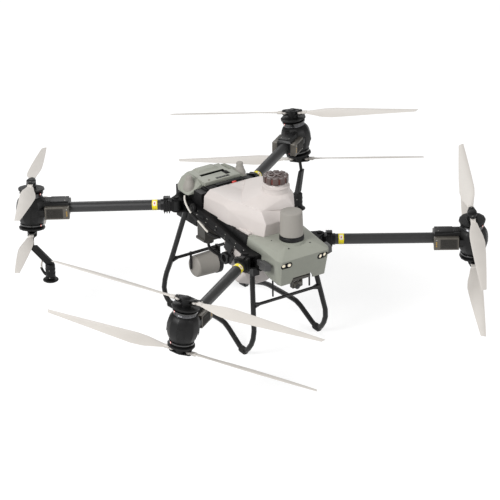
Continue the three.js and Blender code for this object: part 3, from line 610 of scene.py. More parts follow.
def make_rotor_heads():
    """Bolts with caps over the blades' pivots, and screws round the flange."""
    for corner in CORNERS:
        for level in ("upper", "lower"):
            node = f"rotor_{level}_{corner}"
            rounded(node, 0.8, 2, angle=28)
            base = rotor_frame(level, corner)
            for part, look, lift, radius, thickness, sides, rim in PIVOT_FITTINGS:
                bm = bmesh.new()
                for x in (-PIVOT, PIVOT):
                    disc(bm, (x, 0, HEAD_TOP + lift), radius, thickness, base, sides, rim)
                piece(f"{part}_{level}_{corner}", bm, look, node, 30)
            bm = bmesh.new()
            for a in around(6, math.pi / 6):
                disc(bm, (34 * math.cos(a), 34 * math.sin(a), POD_HALF + 17.2), 2.4, 1.6, base, 10)
            piece(f"flange_screws_{level}_{corner}", bm, "dark_screw", node, 30)


# ------------------------------------------------------------------ pods and arms
BARREL = ((52, 61), (57, 58), (64, 50), (70, 40), (74, 27), (76, 12), (76.6, -4), (75.6, -20), (72.5, -36),
          (67.5, -52), (61, -65), (56.5, -73))
BARREL_INSIDE, BARREL_SKIN, BARREL_FACETS = 40, 0.8, 12
PANEL_RADIUS, PANEL_LEVEL = 77.4, -10
NECK_RING = ((50, 0), (53.4, 0), (54.2, 0.9), (54.2, 2.6), (53.4, 3.5), (50, 3.5))
NECK_RING_LEVELS = (61.5, 66.5, 71.5)
LIGHT_RING = ((50, 75.5), (58, 75.5), (59.5, 77), (59.5, 83), (58, 84.5), (50, 84.5))
LIGHT_RADIUS, LIGHT_LEVEL, LIGHT_TURN = 59, 80, 0.95
CONTROLLER_X, CONTROLLER_Y, CONTROLLER_Z = (-190, -70), (36, 63), (-38, 24)
TUBE_RADIUS, TUBE_END = 25.5, -190
BAND_FROM, BAND_TO = 92, 118
# marks on the band: look, half their width as a turn, half their length, how far they stand out
BAND_MARKS = (("white_mark", 0.42, 8.5, 0.9), ("red_mark", 0.13, 2.6, 1.3))


def arm_frame(corner):
    """Pod middle, X outward along the arm, Z up. Also gives the arm's length in mm."""
    hinge = Vector(JOINTS[f"arm_fold_{corner}"]["pos_m"])
    centre = rotor_frame("upper", corner).translation
    x = (centre - hinge).normalized()
    y = Vector((0, 0, 1)).cross(x).normalized()
    return axes_at(centre, x, y, x.cross(y)), (centre - hinge).length / MM


def make_pods():
    for corner in CORNERS:
        body = f"arm_{corner}"
        rounded(f"pod_{corner}", 1.6, 2, angle=22)
        mast = rotor_frame("upper", corner)
        barrel(corner, mast, body)
        barrel_panels(corner, mast, body)
        for side in (1, -1):
            neck_rings(corner, mast, side, body)
        controllers(corner, body)
        arm_cover(corner, body)
        arm_skin(corner, body)
        tube_band(corner, body)


def barrel(corner, mast, body):
    """Faceted barrel round the motors, its upright edges softened."""
    (_, top), *_, (_, base) = BARREL
    skin = [(r + BARREL_SKIN, z) for r, z in reversed(BARREL)]
    bm = bmesh.new()
    lathe(bm, [(BARREL_INSIDE, base), *skin, (BARREL_INSIDE, top)], BARREL_FACETS, mast, closed=True)
    up = mast.col[2].to_3d()
    edges = [e for e in bm.edges if len(e.link_faces) == 2 and e.calc_face_angle(0) > math.radians(12)
             and abs((e.verts[0].co - e.verts[1].co).normalized().dot(up)) > 0.2]
    round_edges(bm, edges, 2.2, 2, clamp=False)
    piece(f"barrel_{corner}", bm, "pod", body, 20)


def barrel_panels(corner, mast, body):
    """Slim raised panels on every third facet."""
    step = 2 * math.pi / BARREL_FACETS
    bm = bmesh.new()
    for a in around(BARREL_FACETS // 3, step / 2):
        place = mast @ turn(a) @ shift(math.cos(step / 2) * PANEL_RADIUS, 0, PANEL_LEVEL)
        block(bm, (-1.2, -15, -22), (0.9, 15, 20), place, 0.7)
    piece(f"barrel_panels_{corner}", bm, "pod", body, 30)


def neck_rings(corner, mast, side, body):
    """Machined rings at one neck of the pod, and the black light ring over them with its lights."""
    way = mast @ Matrix.Diagonal((1, 1, side, 1))
    tag = "top" if side > 0 else "base"
    bm = bmesh.new()
    for z in NECK_RING_LEVELS:
        lathe(bm, raised(NECK_RING, z), 48, way, closed=True)
    piece(f"neck_rings_{tag}_{corner}", bm, "ring" if side > 0 else "gloss_black", body, 30)
    bm = bmesh.new()
    lathe(bm, LIGHT_RING, 48, way, closed=True)
    piece(f"light_ring_{tag}_{corner}", bm, "gloss_black", body, 30)
    for look, radius, out in (("light_red", 4.6, 1.0), ("light_white", 3.3, 1.5)):
        bm = bmesh.new()
        for a in around(2, LIGHT_TURN):
            place = way @ turn(a) @ shift(LIGHT_RADIUS, 0, LIGHT_LEVEL) @ turn(math.pi / 2, "Y")
            disc(bm, (0, 0, 0), radius, out, place, 16)
        piece(f"{look}_{tag}_{corner}", bm, look, body, 40)


def controllers(corner, body):
    """Finned metal cases of the two speed controllers beside the arm's end."""
    place, _ = arm_frame(corner)
    back, front = CONTROLLER_X
    inner, outer = CONTROLLER_Y
    low, high = CONTROLLER_Z
    for side, tag in ((1, "a"), (-1, "b")):
        way = place @ Matrix.Diagonal((1, side, 1, 1))
        bm = bmesh.new()
        block(bm, (back - 1, inner - 1, low - 1), (front + 1, outer + 1, high + 1), way, 3, 3)
        piece(f"controller_{tag}_{corner}", bm, "esc", body, 40)
        bm = bmesh.new()
        block(bm, (back + 30, outer + 0.4, low + 6), (front - 6, outer + 2.2, high - 6), way, 0.8)
        for x in range(back + 34, back + 112, 6):
            block(bm, (x, outer + 1.8, low + 9), (x + 2.4, outer + 4.4, high - 9), way, 0.5, 1)
        piece(f"controller_fins_{tag}_{corner}", bm, "esc_panel", body, 30)
        bm = bmesh.new()
        for z in (-22, -12, -2):
            block(bm, (back + 8, outer + 0.6, z), (back + 15, outer + 2.2, z + 6), way, 0.5, 1)
        piece(f"controller_contacts_{tag}_{corner}", bm, "brass", body, 30)
        bm = bmesh.new()
        disc(bm, (0, 0, 0), 3.2, 1.6, way @ shift(back + 12, outer + 0.8, 14) @ turn(-math.pi / 2, "X"), 12)
        piece(f"controller_screw_{tag}_{corner}", bm, "screw", body, 30)


def arm_cover(corner, body):
    """Slotted black cover over the arm socket, with two screws."""
    place, _ = arm_frame(corner)
    bm = bmesh.new()
    block(bm, (-186, -34, 38), (-96, 34, 46), place, 3, 3)
    block(bm, (-100, -30, 38), (-62, 30, 45), place, 2.5, 3)
    for x in range(-93, -57, 9):
        block(bm, (x, -24, 43), (x + 4, 24, 47.5), place, 0.8, 1)
    piece(f"arm_cover_{corner}", bm, "pod", body, 40)
    bm = bmesh.new()
    for y in (-22, 22):
        disc(bm, (-168, y, 45.6), 3.4, 1.6, place, 14)
    piece(f"cover_screws_{corner}", bm, "screw", body, 30)


def sleeve(bm, place, x0, x1, radius):
    """Thin sleeve about X between x0 and x1, in mm."""
    profile = [(radius - 1.5, x0), (radius, x0), (radius, x1), (radius - 1.5, x1)]
    lathe(bm, profile, 48, place @ turn(math.pi / 2, "Y"), closed=True)


def arm_skin(corner, body):
    """Woven carbon tube, with a UV map in metres along it and round it."""
    place, length = arm_frame(corner)
    bm = bmesh.new()
    sleeve(bm, place, 64 - length, TUBE_END, TUBE_RADIUS + 0.5)
    uv = bm.loops.layers.uv.new("along_tube")
    inverse = place.inverted()
    for face in bm.faces:
        middle = inverse @ face.calc_center_median()
        base = math.atan2(middle.z, middle.y)
        for loop in face.loops:
            p = inverse @ loop.vert.co
            angle = base + (math.atan2(p.z, p.y) - base + math.pi) % (2 * math.pi) - math.pi
            loop[uv].uv = (p.x, angle * TUBE_RADIUS * MM)
    piece(f"tube_{corner}", bm, "carbon", body, 30)


def tube_band(corner, body):
    """Yellow band near the hinge, with a white and a red mark on each side."""
    place, length = arm_frame(corner)
    bm = bmesh.new()
    sleeve(bm, place, BAND_FROM - length, BAND_TO - length, TUBE_RADIUS + 0.9)
    piece(f"band_{corner}", bm, "yellow", body, 30)
    middle = place @ shift((BAND_FROM + BAND_TO) / 2 - length, 0, 0)
    for look, half_turn, half_length, lift in BAND_MARKS:
        bm = bmesh.new()
        half, out = half_turn * 4.2, TUBE_RADIUS + lift
        for side in (0.85, -0.85):
            for i in range(-4, 5):
                way = middle @ turn(-side - half_turn * i / 4, "X")
                block(bm, (-half_length, -half, out - 0.6), (half_length, half, out), way)
        piece(f"band_{look}_{corner}", bm, look, body, 30)


def make_arms():
    """Arms with screws on their knuckles."""
    for corner in CORNERS:
        rounded(f"arm_{corner}", 1.4, 2, angle=24)
        place, length = arm_frame(corner)
        bm = bmesh.new()
        for y in (-26, 26):
            for x in (38, 50):
                disc(bm, (x - length, y, 32.4), 2.6, 2, place, 10)
        piece(f"knuckle_screws_{corner}", bm, "dark_screw", f"arm_{corner}", 30)


# ------------------------------------------------------------------ body shells
# CAD nodes kept with rounded edges: node, width in mm, segments, least angle in degrees
ROUNDED = (("nose_shell", 6, 4, 12), ("lamp_left", 3, 3, 20), ("lamp_right", 3, 3, 20),
           ("vision_window_left", 1.2, 3, 40), ("vision_window_right", 1.2, 3, 40),
           ("side_beam_left", 1.6, 2, 25), ("side_beam_right", 1.6, 2, 25), ("rear_bulkhead", 3, 2, 30),
           ("front_cross_member", 2, 2, 30), ("camera_bracket", 1.5, 2, 30), ("camera", 1.2, 2, 30),
           ("pump_left", 3, 3, 30), ("pump_right", 3, 3, 30), ("nozzle_drop_rear_left", 1.5, 2, 25),
           ("nozzle_drop_rear_right", 1.5, 2, 25), ("spray_disc_rear_left", 0.6, 2, 25),
           ("spray_disc_rear_right", 0.6, 2, 25))


def make_shells():
    for node, width, segments, angle in ROUNDED:
        rounded(node, width, segments, angle)


def gathered(parts):
    """Several bmeshes as one."""
    bm = bmesh.new()
    for part in parts:
        mesh = bpy.data.meshes.new("part")
        part.to_mesh(mesh)
        part.free()
        bm.from_mesh(mesh)
        bpy.data.meshes.remove(mesh)
    return bm


def both_sides(points):
    return [(s * x, y, z) for x, y, z in points for s in (-1, 1)]


def soft_hull(points, width, segments=4, recess=None):
    """The hull of drawn points as a bmesh with rounded edges; recess sinks part of its top first."""
    bm = bmesh.new()
    made = bmesh.ops.convex_hull(bm, input=[bm.verts.new(drawn(*p)) for p in points])
    spare = set(verts_of(made["geom_interior"])) | set(verts_of(made["geom_unused"]))
    bmesh.ops.delete(bm, geom=list(spare), context="VERTS")
    bmesh.ops.dissolve_limit(bm, angle_limit=math.radians(2), verts=bm.verts, edges=bm.edges)
    if recess:
        recess(bm)
    bmesh.ops.recalc_face_normals(bm, faces=bm.faces)
    edges = [e for e in bm.edges if e.is_manifold and e.calc_face_angle(0) > math.radians(7)]
    round_edges(bm, edges, width, segments)
    return bm


TANK_UPPER = both_sides([
    (155, -60, 568), (98, -288, 568), (155, 150, 568), (155, -18, 684), (152, -75, 672), (82, -291, 652),
    (155, 140, 672), (127, -60, 711), (79, -247, 708), (122, 138, 702)])
TANK_RAISED = [
    (-77, -245, 707), (-108, -104, 708), (18, -122, 706), (30, -142, 724), (62, 96, 722), (80, 130, 702),
    (126, 132, 701), (112, 33, 750), (142, -20, 748), (148, -142, 750), (80, -247, 706), (96, -278, 690),
    (128, -222, 736), (16, -150, 660), (70, 110, 660), (128, 110, 660), (150, -60, 660), (150, 20, 660)]
TANK_HOPPER = both_sides([
    (130, -215, 430), (130, 0, 430), (124, -150, 356), (128, 0, 362), (118, -178, 376), (138, -222, 600),
    (138, 10, 600)])
TANK_BOWL = both_sides([
    (42, -114, 258), (96, -42, 258), (86, -18, 264), (112, -150, 350), (112, -16, 372), (88, -172, 372)])
NECK_PLACE = (58, -175)
# the raised deck's two rings round the neck: radius, height
TANK_RAISED += [(NECK_PLACE[0] + r * math.cos(a), NECK_PLACE[1] + r * math.sin(a), z)
                for r, z in ((82, 746), (67, 762)) for a in around(24)]
CHANNEL_X, CHANNEL_X_LEAN, CHANNEL_FRONT, CHANNEL_FRONT_LEAN, CHANNEL_DEPTH = -6, 0.09, -116, 0.12, 6
NECK_TOP = 815
# the neck's profile: radius, height from its top
NECK = ((0, -60), (68, -60), (67.5, -40), (66, -33), (67, -31), (67, -26), (64, -24), (58, -22), (54, -18),
        (51, -14), (50, -12), (50, 0), (0, 0))


def sink_channel(bm):
    """Sinks the top right of a line along the tank and behind a line across it."""
    for place, way in (((CHANNEL_X, 0, 700), (1, CHANNEL_X_LEAN, 0)),
                       ((0, CHANNEL_FRONT, 700), (CHANNEL_FRONT_LEAN, 1, 0))):
        bmesh.ops.bisect_plane(bm, geom=bm.verts[:] + bm.edges[:] + bm.faces[:], plane_co=drawn(*place),
                               plane_no=Vector(way).normalized(), dist=1e-6)
    bmesh.ops.recalc_face_normals(bm, faces=bm.faces)
    floor = []
    for face in bm.faces:
        x, y, z = (face.calc_center_median() - ORIGIN) / MM
        sunk = x + CHANNEL_X_LEAN * y > CHANNEL_X and y + CHANNEL_FRONT_LEAN * x > CHANNEL_FRONT
        if sunk and face.normal.z > 0.9 and z > 690:
            floor.append(face)
    bmesh.ops.inset_region(bm, faces=floor, thickness=0.004, depth=-CHANNEL_DEPTH * MM, use_even_offset=True)


def make_tank():
    """Blow-moulded tank: soft-edged body, raised deck round the filler, hopper and bowl."""
    under_cap, _ = standing_on("tank_cap")
    neck = Matrix.Translation((under_cap.translation.x, under_cap.translation.y, 0))
    rim = bmesh.new()
    lathe(rim, raised(NECK, drawn(0, 0, NECK_TOP).z / MM), 72, neck)
    bm = gathered([soft_hull(TANK_UPPER, 4.5, 4, sink_channel), soft_hull(TANK_RAISED, 5, 4),
                   soft_hull(TANK_HOPPER, 9, 4), soft_hull(TANK_BOWL, 9, 4), rim])
    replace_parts(piece("tank_finished", bm, "tank", "airframe", 55), "tank")


LINER_INSIDE, LINER_OUTSIDE = 141, 157.5
PLATE_INSIDE, PLATE_OUTSIDE = 144, 152
# liners: from and to along Y, from and to in height
LINERS = ((-235, -120, 506, 592), (-120, 20, 520, 596), (20, 156, 545, 604))
# coupling plates: lean in degrees, from and to along Y, from and to in height
COUPLING_PLATES = ((-24, -96, -34, 440, 530), (-34, -92, -58, 384, 446))
COUPLING = ((19, -11), (29, -11), (31, -9), (31, 9), (29, 11), (19, 11))


def make_liners():
    """Dark liners between tank and beams."""
    bm = bmesh.new()
    for side in (-1, 1):
        for y0, y1, z0, z1 in LINERS:
            lo, hi = sorted((side * LINER_INSIDE, side * LINER_OUTSIDE))
            block(bm, (lo, y0, z0), (hi, y1, z1), Matrix.Translation(ORIGIN), 3)
    piece("tank_liners", bm, "black", "airframe", 30)


def make_coupling_plates():
    """Leaning plates that carry the hose couplings, one pair on each side."""
    for side, tag in reversed(SIDES):
        bm = bmesh.new()
        lo, hi = sorted((side * PLATE_INSIDE, side * PLATE_OUTSIDE))
        for lean, y0, y1, z0, z1 in COUPLING_PLATES:
            half_deep, half_tall = (y1 - y0) / 2, (z1 - z0) / 2
            middle = Matrix.Translation(drawn(0, y0 + half_deep, z0 + half_tall))
            place = middle @ turn(math.radians(-lean), "X")
            block(bm, (lo, -half_deep, -half_tall), (hi, half_deep, half_tall), place, 4, 3)
        lathe(bm, COUPLING, 48, lying(drawn(side * 148, -34, 404), (side, 0, 0)), closed=True)
        stub = lying(drawn(side * 150, -72, 430), (side, 0, 0))
        lathe(bm, [(0, -16), (8, -16), (8, 16), (0, 16)], 24, stub)
        piece(f"coupling_plate_{tag}", bm, "black", "airframe", 35)


def make_legs():
    """Leg frames and crossbars with their edges softened."""
    for node in ("landing_leg_left", "landing_leg_right", "front_crossbar", "rear_crossbar"):
        rounded(node, 1.0, 2, angle=40, sharp=60)


RADAR_RING = ((30, 0), (59, 0), (60, 1.5), (60, 15), (59.2, 17), (57.6, 18.5), (57.6, 24), (30, 24))


def make_front_radar():
    """Upright dome over its black ring."""
    place, tall = standing_on("front_radar")
    bm = bmesh.new()
    lathe(bm, [(0, 20), (57, 20), (57, 33), (56.5, 35), (53.4, tall - 7), (52.2, tall - 3.5), (49, tall - 1),
               (45, tall), (0, tall)], 72, place)
    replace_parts(piece("front_radar_dome", bm, "dome", "airframe", 25), "front_radar")
    bm = bmesh.new()
    lathe(bm, RADAR_RING, 72, place, closed=True)
    piece("front_radar_ring", bm, "black", "airframe", 30)


def make_rear_radar():
    """Drum lying across the machine on its black base."""
    lo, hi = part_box("rear_radar")
    wide = (hi.x - lo.x) / MM
    way = Matrix.Translation((lo.x, (lo.y + hi.y) / 2, (lo.z + hi.z) / 2)) @ turn(math.pi / 2, "Y")
    bm = bmesh.new()
    lathe(bm, [(0, 0), (44, 0), (49, 1.5), (52, 4.5), (55.5, 10), (59, wide - 24), (0, wide - 24)], 72, way)
    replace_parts(piece("rear_radar_drum", bm, "dome", "airframe", 25), "rear_radar")
    bm = bmesh.new()
    lathe(bm, [(20, wide - 23.5), (61, wide - 23.5), (62, wide - 22), (62, wide - 2), (60, wide - 0.5),
               (20, wide)], 72, way, closed=True)
    piece("rear_radar_base", bm, "black", "airframe", 30)


CAP_LOBES, CAP_RADIUS, CAP_SPOKES = 10, 61.5, 5


def make_cap():
    """Screw cap with a ring of lobes, five spokes on top and red notches between the lobes."""
    centre, tall = standing_on("tank_cap")
    bm = bmesh.new()
    for a in around(CAP_LOBES, math.pi / CAP_LOBES):
        block(bm, (42, -13.5, 0), (CAP_RADIUS, 13.5, tall - 4), centre @ turn(a), 3.2, 3)
    lathe(bm, [(50.6, 0), (54, 0), (54, tall - 8), (50, tall - 5), (34, tall - 3), (30, tall - 6),
               (0, tall - 6), (0, 10), (50.6, 10)], 64, centre)
    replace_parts(piece("tank_cap_finished", bm, "cap", "tank_cap", 35), "tank_cap")
    bm = bmesh.new()
    for a in around(CAP_SPOKES):
        block(bm, (4, -5, tall - 7), (36, 5, tall - 1), centre @ turn(a), 1.8)
    lathe(bm, [(0, tall - 7), (10, tall - 7), (10, tall - 1.5), (8, tall), (0, tall)], 32, centre)
    piece("tank_cap_spokes", bm, "cap", "tank_cap", 35)
    bm = bmesh.new()
    for a in around(CAP_LOBES):
        block(bm, (52, -4, 3), (56.5, 4, tall - 9), centre @ turn(a), 1)
    piece("tank_cap_notches", bm, "cap_inner", "tank_cap", 35)


# rings of a window's lenses: look, radius, how far they stand out; the innermost pale ring glows as a painted
# glint
WINDOW_RINGS = (("screw", 10.6, 0.7), ("lens", 9.4, 1.2), ("lens_painted_glint", 8.2, 1.7))
LENS_OFFSET = 14.5


def make_windows():
    """Two lenses in each oval window of the nose, their pale glowing centres a painted glint."""
    for _, tag in SIDES:
        node = f"vision_window_{tag}"
        lo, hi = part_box(node)
        face = frame["nodes"][node].data
        normal = max(face.polygons, key=lambda p: -p.normal.y * p.area).normal.copy()
        centre = (lo + hi) / 2
        front = max((v.co - centre).dot(normal) for v in face.vertices) - 0.2 * MM
        across = Vector((0, 0, 1)).cross(normal).normalized()
        for look, radius, out in WINDOW_RINGS:
            bm = bmesh.new()
            for s in (-1, 1):
                point = centre + normal * front + across * (s * LENS_OFFSET * MM)
                disc(bm, (0, 0, 0), radius, out, lying(point, normal), 24)
            piece(f"{node}_{look}", bm, look, "airframe", 35)


LENS_FROM_PIVOT = Vector((-8, -24, 0))
LENS_RING = ((7, -1), (12.6, -1), (13.4, 0), (13.4, 1.2), (11, 1.8), (9, 0.6), (7, 0.4))
LENS_GLASS = ((0, -0.5), (9, -0.5), (9, 0.4), (6, 1.4), (0, 1.9))


def make_camera_lens():
    pivot = Vector(JOINTS["camera_tilt"]["pos_m"])
    place = lying(pivot + LENS_FROM_PIVOT * MM, (0, -1, 0))
    bm = bmesh.new()
    lathe(bm, LENS_RING, 32, place, closed=True)
    piece("camera_lens_ring", bm, "dark_screw", "camera", 30)
    bm = bmesh.new()
    lathe(bm, LENS_GLASS, 28, place)
    piece("camera_lens_glass", bm, "lens", "camera", 60)


# ------------------------------------------------------------------ battery and rear
BATTERY_TOP, HANDLE_SHARE = 704, 0.22
LID = ((-103.5, 206), (103.5, 206), (103.5, 283.5), (72, 283.5), (72, 240), (44, 240), (44, 283.5),
       (-103.5, 283.5))
LID_BASE, LID_TOP = 687, BATTERY_TOP + 3
# dark sheets on the grip slot's walls, painting the slot's shade: two opposite corners, seen from above
GRIP_SHADE_SHEETS = ((-70.5, 285.7, 70.5, 287), (-70.5, 311, 70.5, 312.3), (-70.3, 287, -69, 311),
              (69, 287, 70.3, 311))
SHOULDER = (
    (106, 350, 711), (106, 300, 709), (106, 262, 704), (106, 388, 692), (132, 374, 692), (158, 352, 680),
    (180, 318, 664), (189, 285, 655), (186, 256, 648), (178, 244, 646), (138, 238, 668), (106, 236, 690),
    (106, 233, 647), (106, 398, 647), (150, 388, 647), (182, 330, 647))
ANTENNA_PLACE = (150, 279, 660)
ANTENNA = ((0, 0), (30, 0), (29, 20), (25, 30), (22, 36), (20.5, 45), (18, 48), (17.2, 50), (16.6, 66),
           (15, 69.6), (12, 71), (0, 71))


def slab(bm, outline, low, high, width):
    """A flat plate of a drawn outline between two drawn heights, its edges rounded."""
    before = set(bm.verts)
    face = bm.faces.new([bm.verts.new(drawn(x, y, low)) for x, y in outline])
    top = verts_of(bmesh.ops.extrude_face_region(bm, geom=[face])["geom"])
    bmesh.ops.translate(bm, vec=(0, 0, (high - low) * MM), verts=top)
    fresh = [v for v in bm.verts if v not in before]
    bmesh.ops.recalc_face_normals(bm, faces=list({f for v in fresh for f in v.link_faces}))
    round_edges(bm, list({e for v in fresh for e in v.link_edges}), width, 3)


def battery_case(top):
    """The battery's box with its rear handle lowered to a hump."""
    bm = bmesh.new()
    bm.from_mesh(frame["nodes"]["battery"].data)
    bmesh.ops.remove_doubles(bm, verts=bm.verts, dist=1e-6)
    for v in bm.verts:
        if v.co.z > top + 0.5 * MM:
            v.co.z = top + (v.co.z - top) * HANDLE_SHARE
    bmesh.ops.dissolve_limit(bm, angle_limit=math.radians(1), verts=bm.verts, edges=bm.edges)
    round_edges(bm, [e for e in bm.edges if e.is_manifold and e.calc_face_angle(0) > math.radians(20)], 3, 4)
    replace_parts(piece("battery_case", bm, "shell", "battery", 40), "battery")


def make_battery():
    """The battery with a low rear hump, a raised front lid, display, button and grip slot."""
    top = drawn(0, 0, BATTERY_TOP).z
    battery_case(top)
    bm = bmesh.new()
    slab(bm, LID, LID_BASE, LID_TOP, 2.2)
    piece("battery_lid", bm, "shell", "battery", 30)
    flat = Matrix.Translation((0, ORIGIN.y, top))
    bm = bmesh.new()
    block(bm, (-28, 214, 0), (48, 230, 4.2), flat, 0.8)
    piece("battery_display", bm, "panel", "battery", 30)
    bm = bmesh.new()
    for x in range(-14, 38, 13):
        block(bm, (x, 219, 3.6), (x + 7, 225, 4.7), flat, 0.3, 1)
    piece("battery_level_marks", bm, "mark_grey", "battery", 30)
    bm = bmesh.new()
    disc(bm, (-68, 224, 2.5), 6, 2.6, flat, 28, rim=1)
    piece("battery_button", bm, "button", "battery", 30)
    # painted shade: the darkest black on the grip slot's walls and floor and in the lid's notch stands in for
    # their shadow
    bm = bmesh.new()
    for x0, y0, x1, y1 in GRIP_SHADE_SHEETS:
        block(bm, (x0, y0, -38), (x1, y1, -2), flat, 0.3, 1)
    block(bm, (-70, 286, -39), (70, 312, -37), flat, 0.5)
    block(bm, (44.5, 241, -2), (71.5, 284, 1.2), flat, 0.5)
    piece("battery_grip_painted_shade", bm, "deep_black", "battery", 30)


def make_rear_strip():
    """Dark connector strip between the battery and the tank, with a red latch mark."""
    place = Matrix.Translation((0, ORIGIN.y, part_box("rear_bulkhead")[1].z))
    bm = bmesh.new()
    block(bm, (-112, 158, -9), (112, 202, 8), place, 3, 3)
    for x in range(-100, 120, 20):
        block(bm, (x, 164, 7), (x + 6, 198, 10), place, 1)
    block(bm, (-60, 166, 7), (84, 190, 13), place, 3, 3)
    piece("rear_strip", bm, "frame", "airframe", 30)
    bm = bmesh.new()
    block(bm, (24, 150, 2), (46, 163, 15), place, 2.5, 3)
    piece("rear_latch_mark", bm, "red_mark", "airframe", 30)


def make_shoulders():
    """Shoulder shells sloping down outwards, each with a round satellite antenna."""
    for side, tag in SIDES:
        node = f"rear_shoulder_{tag}"
        bm = soft_hull([(side * x, y, z) for x, y, z in SHOULDER], 7, 5)
        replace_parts(piece(node + "_shell", bm, "shell", "airframe", 50), node)
        x, y, z = ANTENNA_PLACE
        bm = bmesh.new()
        lathe(bm, ANTENNA, 48, Matrix.Translation(drawn(side * x, y, z)))
        piece(f"rear_antenna_{tag}", bm, "dome", "airframe", 35)


# ------------------------------------------------------------------ small fittings
# nose screws: drawn x and y, radius
NOSE_SCREWS = ((-62, -452, 4.6), (62, -452, 4.6), (-88, -345, 3.0), (88, -345, 3.0))
NOSE_SLOPE = Vector((0, -0.08, 1))
# the beam's outer face, and its upper row of screws: its height at one place along Y, and its rise
BEAM_FACE, BEAM_ROW, BEAM_ROW_Y, BEAM_RISE = 184.6, 591, 110, 0.159
BEAM_SCREWS = (-250, -180, -90, -10, 70, 150, 210)
HOSE_ROUTE = ((188, 262, 640), (200, 251, 625), (204, 215, 598), (204, 181, 578), (203, 150, 566),
              (200, 128, 556), (198, 90, 542), (196, 49, 522), (180, 20, 505), (150, 5, 500))
# sleeves on a hose: the first and the last of its points
HOSE_SLEEVES = ((3, 5), (7, 9))
PUMP_FEED_ROUTE = ((104, 186, 400), (104, 190, 372), (96, 172, 352), (80, 150, 340), (62, 140, 322),
                   (58, 128, 300))
VALVE_PLACE = (185.5, 185, 600)
NOZZLE_BAND = ((22, 0), (25.4, 0), (25.4, 4), (22, 4))
# the nozzle's hose: distance out from the nozzle's middle, height above its foot
NOZZLE_HOSE = ((26, 16), (42, 28), (52, 52), (50, 82), (36, 100))
# foot sleeves: from and to along Y, the heights there, and the name of the end
FEET = ((-300, -264, 21, 23.4, "front"), (342, 382, 21, 18.6, "rear"))
FOOT_X, GROUND = (218.6, 218.4), 6.2
FOOT_RIBS = 5
FOOT_RIB = ((12, -2), (17.2, -2), (17.8, -1), (17.8, 1), (17.2, 2), (12, 2))


def surface_below(node, x, y):
    """Where a line straight down at drawn x, y meets a node."""
    mesh = frame["nodes"][node].data
    tree = BVHTree.FromPolygons([v.co for v in mesh.vertices], [p.vertices for p in mesh.polygons])
    place, _, _, _ = tree.ray_cast(drawn(x, y, 900), Vector((0, 0, -1)))
    return place


def make_screws():
    """Screws of the nose and of the beams' outer faces."""
    bm = bmesh.new()
    for x, y, radius in NOSE_SCREWS:
        disc(bm, (0, 0, 0), radius, 1.6, lying(surface_below("nose_shell", x, y), NOSE_SLOPE), 6, rim=0.5)
    piece("nose_screws", bm, "dark_screw", "airframe", 30)
    for side, tag in SIDES:
        bm = bmesh.new()
        for y in BEAM_SCREWS:
            z = BEAM_ROW + (y - BEAM_ROW_Y) * BEAM_RISE
            for back, down in ((0, 0), (9, 22)):
                place = lying(drawn(side * BEAM_FACE, y + back, z - down), (side, 0, 0))
                disc(bm, (0, 0, 0), 2.6, 1.8, place, 12)
        piece(f"beam_screws_{tag}", bm, "screw", "airframe", 30)


def make_hoses():
    """White hoses with black sleeves beside the beams, the pump feeds, and a valve on each beam."""
    for side, tag in reversed(SIDES):
        route = [drawn(side * x, y, z) for x, y, z in HOSE_ROUTE]
        tube(f"hose_{tag}", route, 5.2, "hose", "airframe")
        for i, (first, last) in enumerate(HOSE_SLEEVES):
            tube(f"hose_sleeve_{tag}_{i}", route[first:last + 1], 7.6, "black", "airframe")
        feed = [drawn(side * x, y, z) for x, y, z in PUMP_FEED_ROUTE]
        tube(f"pump_feed_{tag}", feed, 7.0, "black", "airframe")
        x, y, z = VALVE_PLACE
        place = lying(drawn(side * x, y, z), (side, 0.2, 0.1))
        bm = bmesh.new()
        disc(bm, (0, 0, 0), 24, 14, place, 32, rim=3)
        disc(bm, (0, 0, 0), 15, 19, place, 32, rim=2)
        piece(f"valve_{tag}", bm, "black", "airframe", 35)


def make_nozzle_details():
    """Screws, bands and the short feed hose of each nozzle drop."""
    for _, tag in SIDES:
        corner = f"rear_{tag}"
        body = f"arm_{corner}"
        lo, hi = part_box(f"spray_disc_{corner}")
        foot = Vector(((lo.x + hi.x) / 2, (lo.y + hi.y) / 2, hi.z))
        bm = bmesh.new()
        for a in around(4, math.pi / 4):
            for z in (12, 52):
                point = foot + Vector((24.2 * math.cos(a), 24.2 * math.sin(a), z)) * MM
                disc(bm, (0, 0, 0), 2.2, 1.2, lying(point, (math.cos(a), math.sin(a), 0)), 10)
        piece(f"nozzle_screws_{corner}", bm, "screw", body, 30)
        bm = bmesh.new()
        for z in (8, 30, 52):
            lathe(bm, raised(NOZZLE_BAND, z), 32, Matrix.Translation(foot), closed=True)
        piece(f"nozzle_bands_{corner}", bm, "black", body, 30)
        outward = rotor_frame("lower", corner).translation - foot
        outward.z = 0
        outward.normalize()
        route = [foot + outward * out * MM + Vector((0, 0, z)) * MM for out, z in NOZZLE_HOSE]
        tube(f"nozzle_hose_{corner}", route, 4.6, "hose", body)
        tube(f"nozzle_fitting_{corner}", route[:3], 6.6, "black", body)


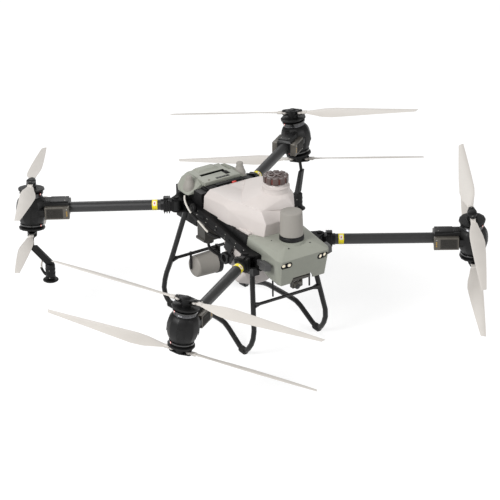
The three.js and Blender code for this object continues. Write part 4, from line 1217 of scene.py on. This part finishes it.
def make_feet():
    """Ribs of the rubber sleeves where the leg frames touch the ground, cut off flat there."""
    ground = drawn(0, 0, GROUND).z
    x0, x1 = FOOT_X
    for side, tag in SIDES:
        for y0, y1, z0, z1, end in FEET:
            a, b = drawn(side * x0, y0, z0), drawn(side * x1, y1, z1)
            bm = bmesh.new()
            for i in range(FOOT_RIBS):
                middle = (b - a).length / MM * (i + 0.5) / FOOT_RIBS
                lathe(bm, raised(FOOT_RIB, middle), 32, lying(a, b - a), closed=True)
            bmesh.ops.bisect_plane(bm, geom=bm.verts[:] + bm.edges[:] + bm.faces[:], plane_co=(0, 0, ground),
                                   plane_no=(0, 0, -1), clear_outer=True)
            bmesh.ops.holes_fill(bm, edges=[e for e in bm.edges if e.is_boundary], sides=0)
            piece(f"foot_ribs_{tag}_{end}", bm, "rubber", "airframe", 40)


# ------------------------------------------------------------------ stage
FLOOR_SIZE, FLOOR_GREY, FLOOR_GLOW = 60, 0.34, 0.75
WORLD_LIGHT = 0.42


def make_floor():
    """Plain white floor that keeps the shadow; the camera sees it near white."""
    material = bpy.data.materials.new("floor_white")
    material.use_nodes = True
    tree = material.node_tree
    tree.nodes.clear()
    path = add_node(tree, "ShaderNodeLightPath").outputs
    seen = math_node(tree, "MAXIMUM", path["Is Glossy Ray"], path["Is Transmission Ray"])
    seen = math_node(tree, "MAXIMUM", path["Is Camera Ray"], seen)
    strength = math_node(tree, "MULTIPLY", seen, FLOOR_GLOW)
    matt = add_node(tree, "ShaderNodeBsdfDiffuse", {"Color": (FLOOR_GREY, FLOOR_GREY, FLOOR_GREY, 1)})
    glow = add_node(tree, "ShaderNodeEmission", {"Color": (1, 1, 1, 1), "Strength": strength})
    both = add_node(tree, "ShaderNodeAddShader", {0: matt.outputs[0], 1: glow.outputs[0]})
    add_node(tree, "ShaderNodeOutputMaterial", {0: both.outputs[0]})
    bm = bmesh.new()
    bmesh.ops.create_grid(bm, x_segments=1, y_segments=1, size=FLOOR_SIZE / 2)
    object_of("floor", bm, material, 30)


def make_world():
    """White to the camera and through glass, and a plain dimmer light on the machine."""
    world = bpy.data.worlds.new("studio")
    bpy.context.scene.world = world
    world.use_nodes = True
    tree = world.node_tree
    background = next(n for n in tree.nodes if n.type == "BACKGROUND")
    path = add_node(tree, "ShaderNodeLightPath").outputs
    seen = math_node(tree, "MAXIMUM", path["Is Camera Ray"], path["Is Transmission Ray"])
    strength = math_node(tree, "ADD", WORLD_LIGHT, math_node(tree, "MULTIPLY", seen, 1 - WORLD_LIGHT))
    set_inputs(tree, background, {"Color": (1, 1, 1, 1), "Strength": strength})


# ------------------------------------------------------------------ everything
make_camera()
make_world()
make_floor()
make_lamps()
paint_nodes()
make_shells()
make_tank()
make_liners()
make_coupling_plates()
make_legs()
make_front_radar()
make_rear_radar()
make_cap()
make_windows()
make_camera_lens()
make_battery()
make_rear_strip()
make_shoulders()
make_screws()
make_hoses()
make_feet()
make_arms()
make_pods()
make_rotor_heads()
make_blades()
make_nozzle_details()

bpy.context.scene.view_settings.view_transform = "Standard"
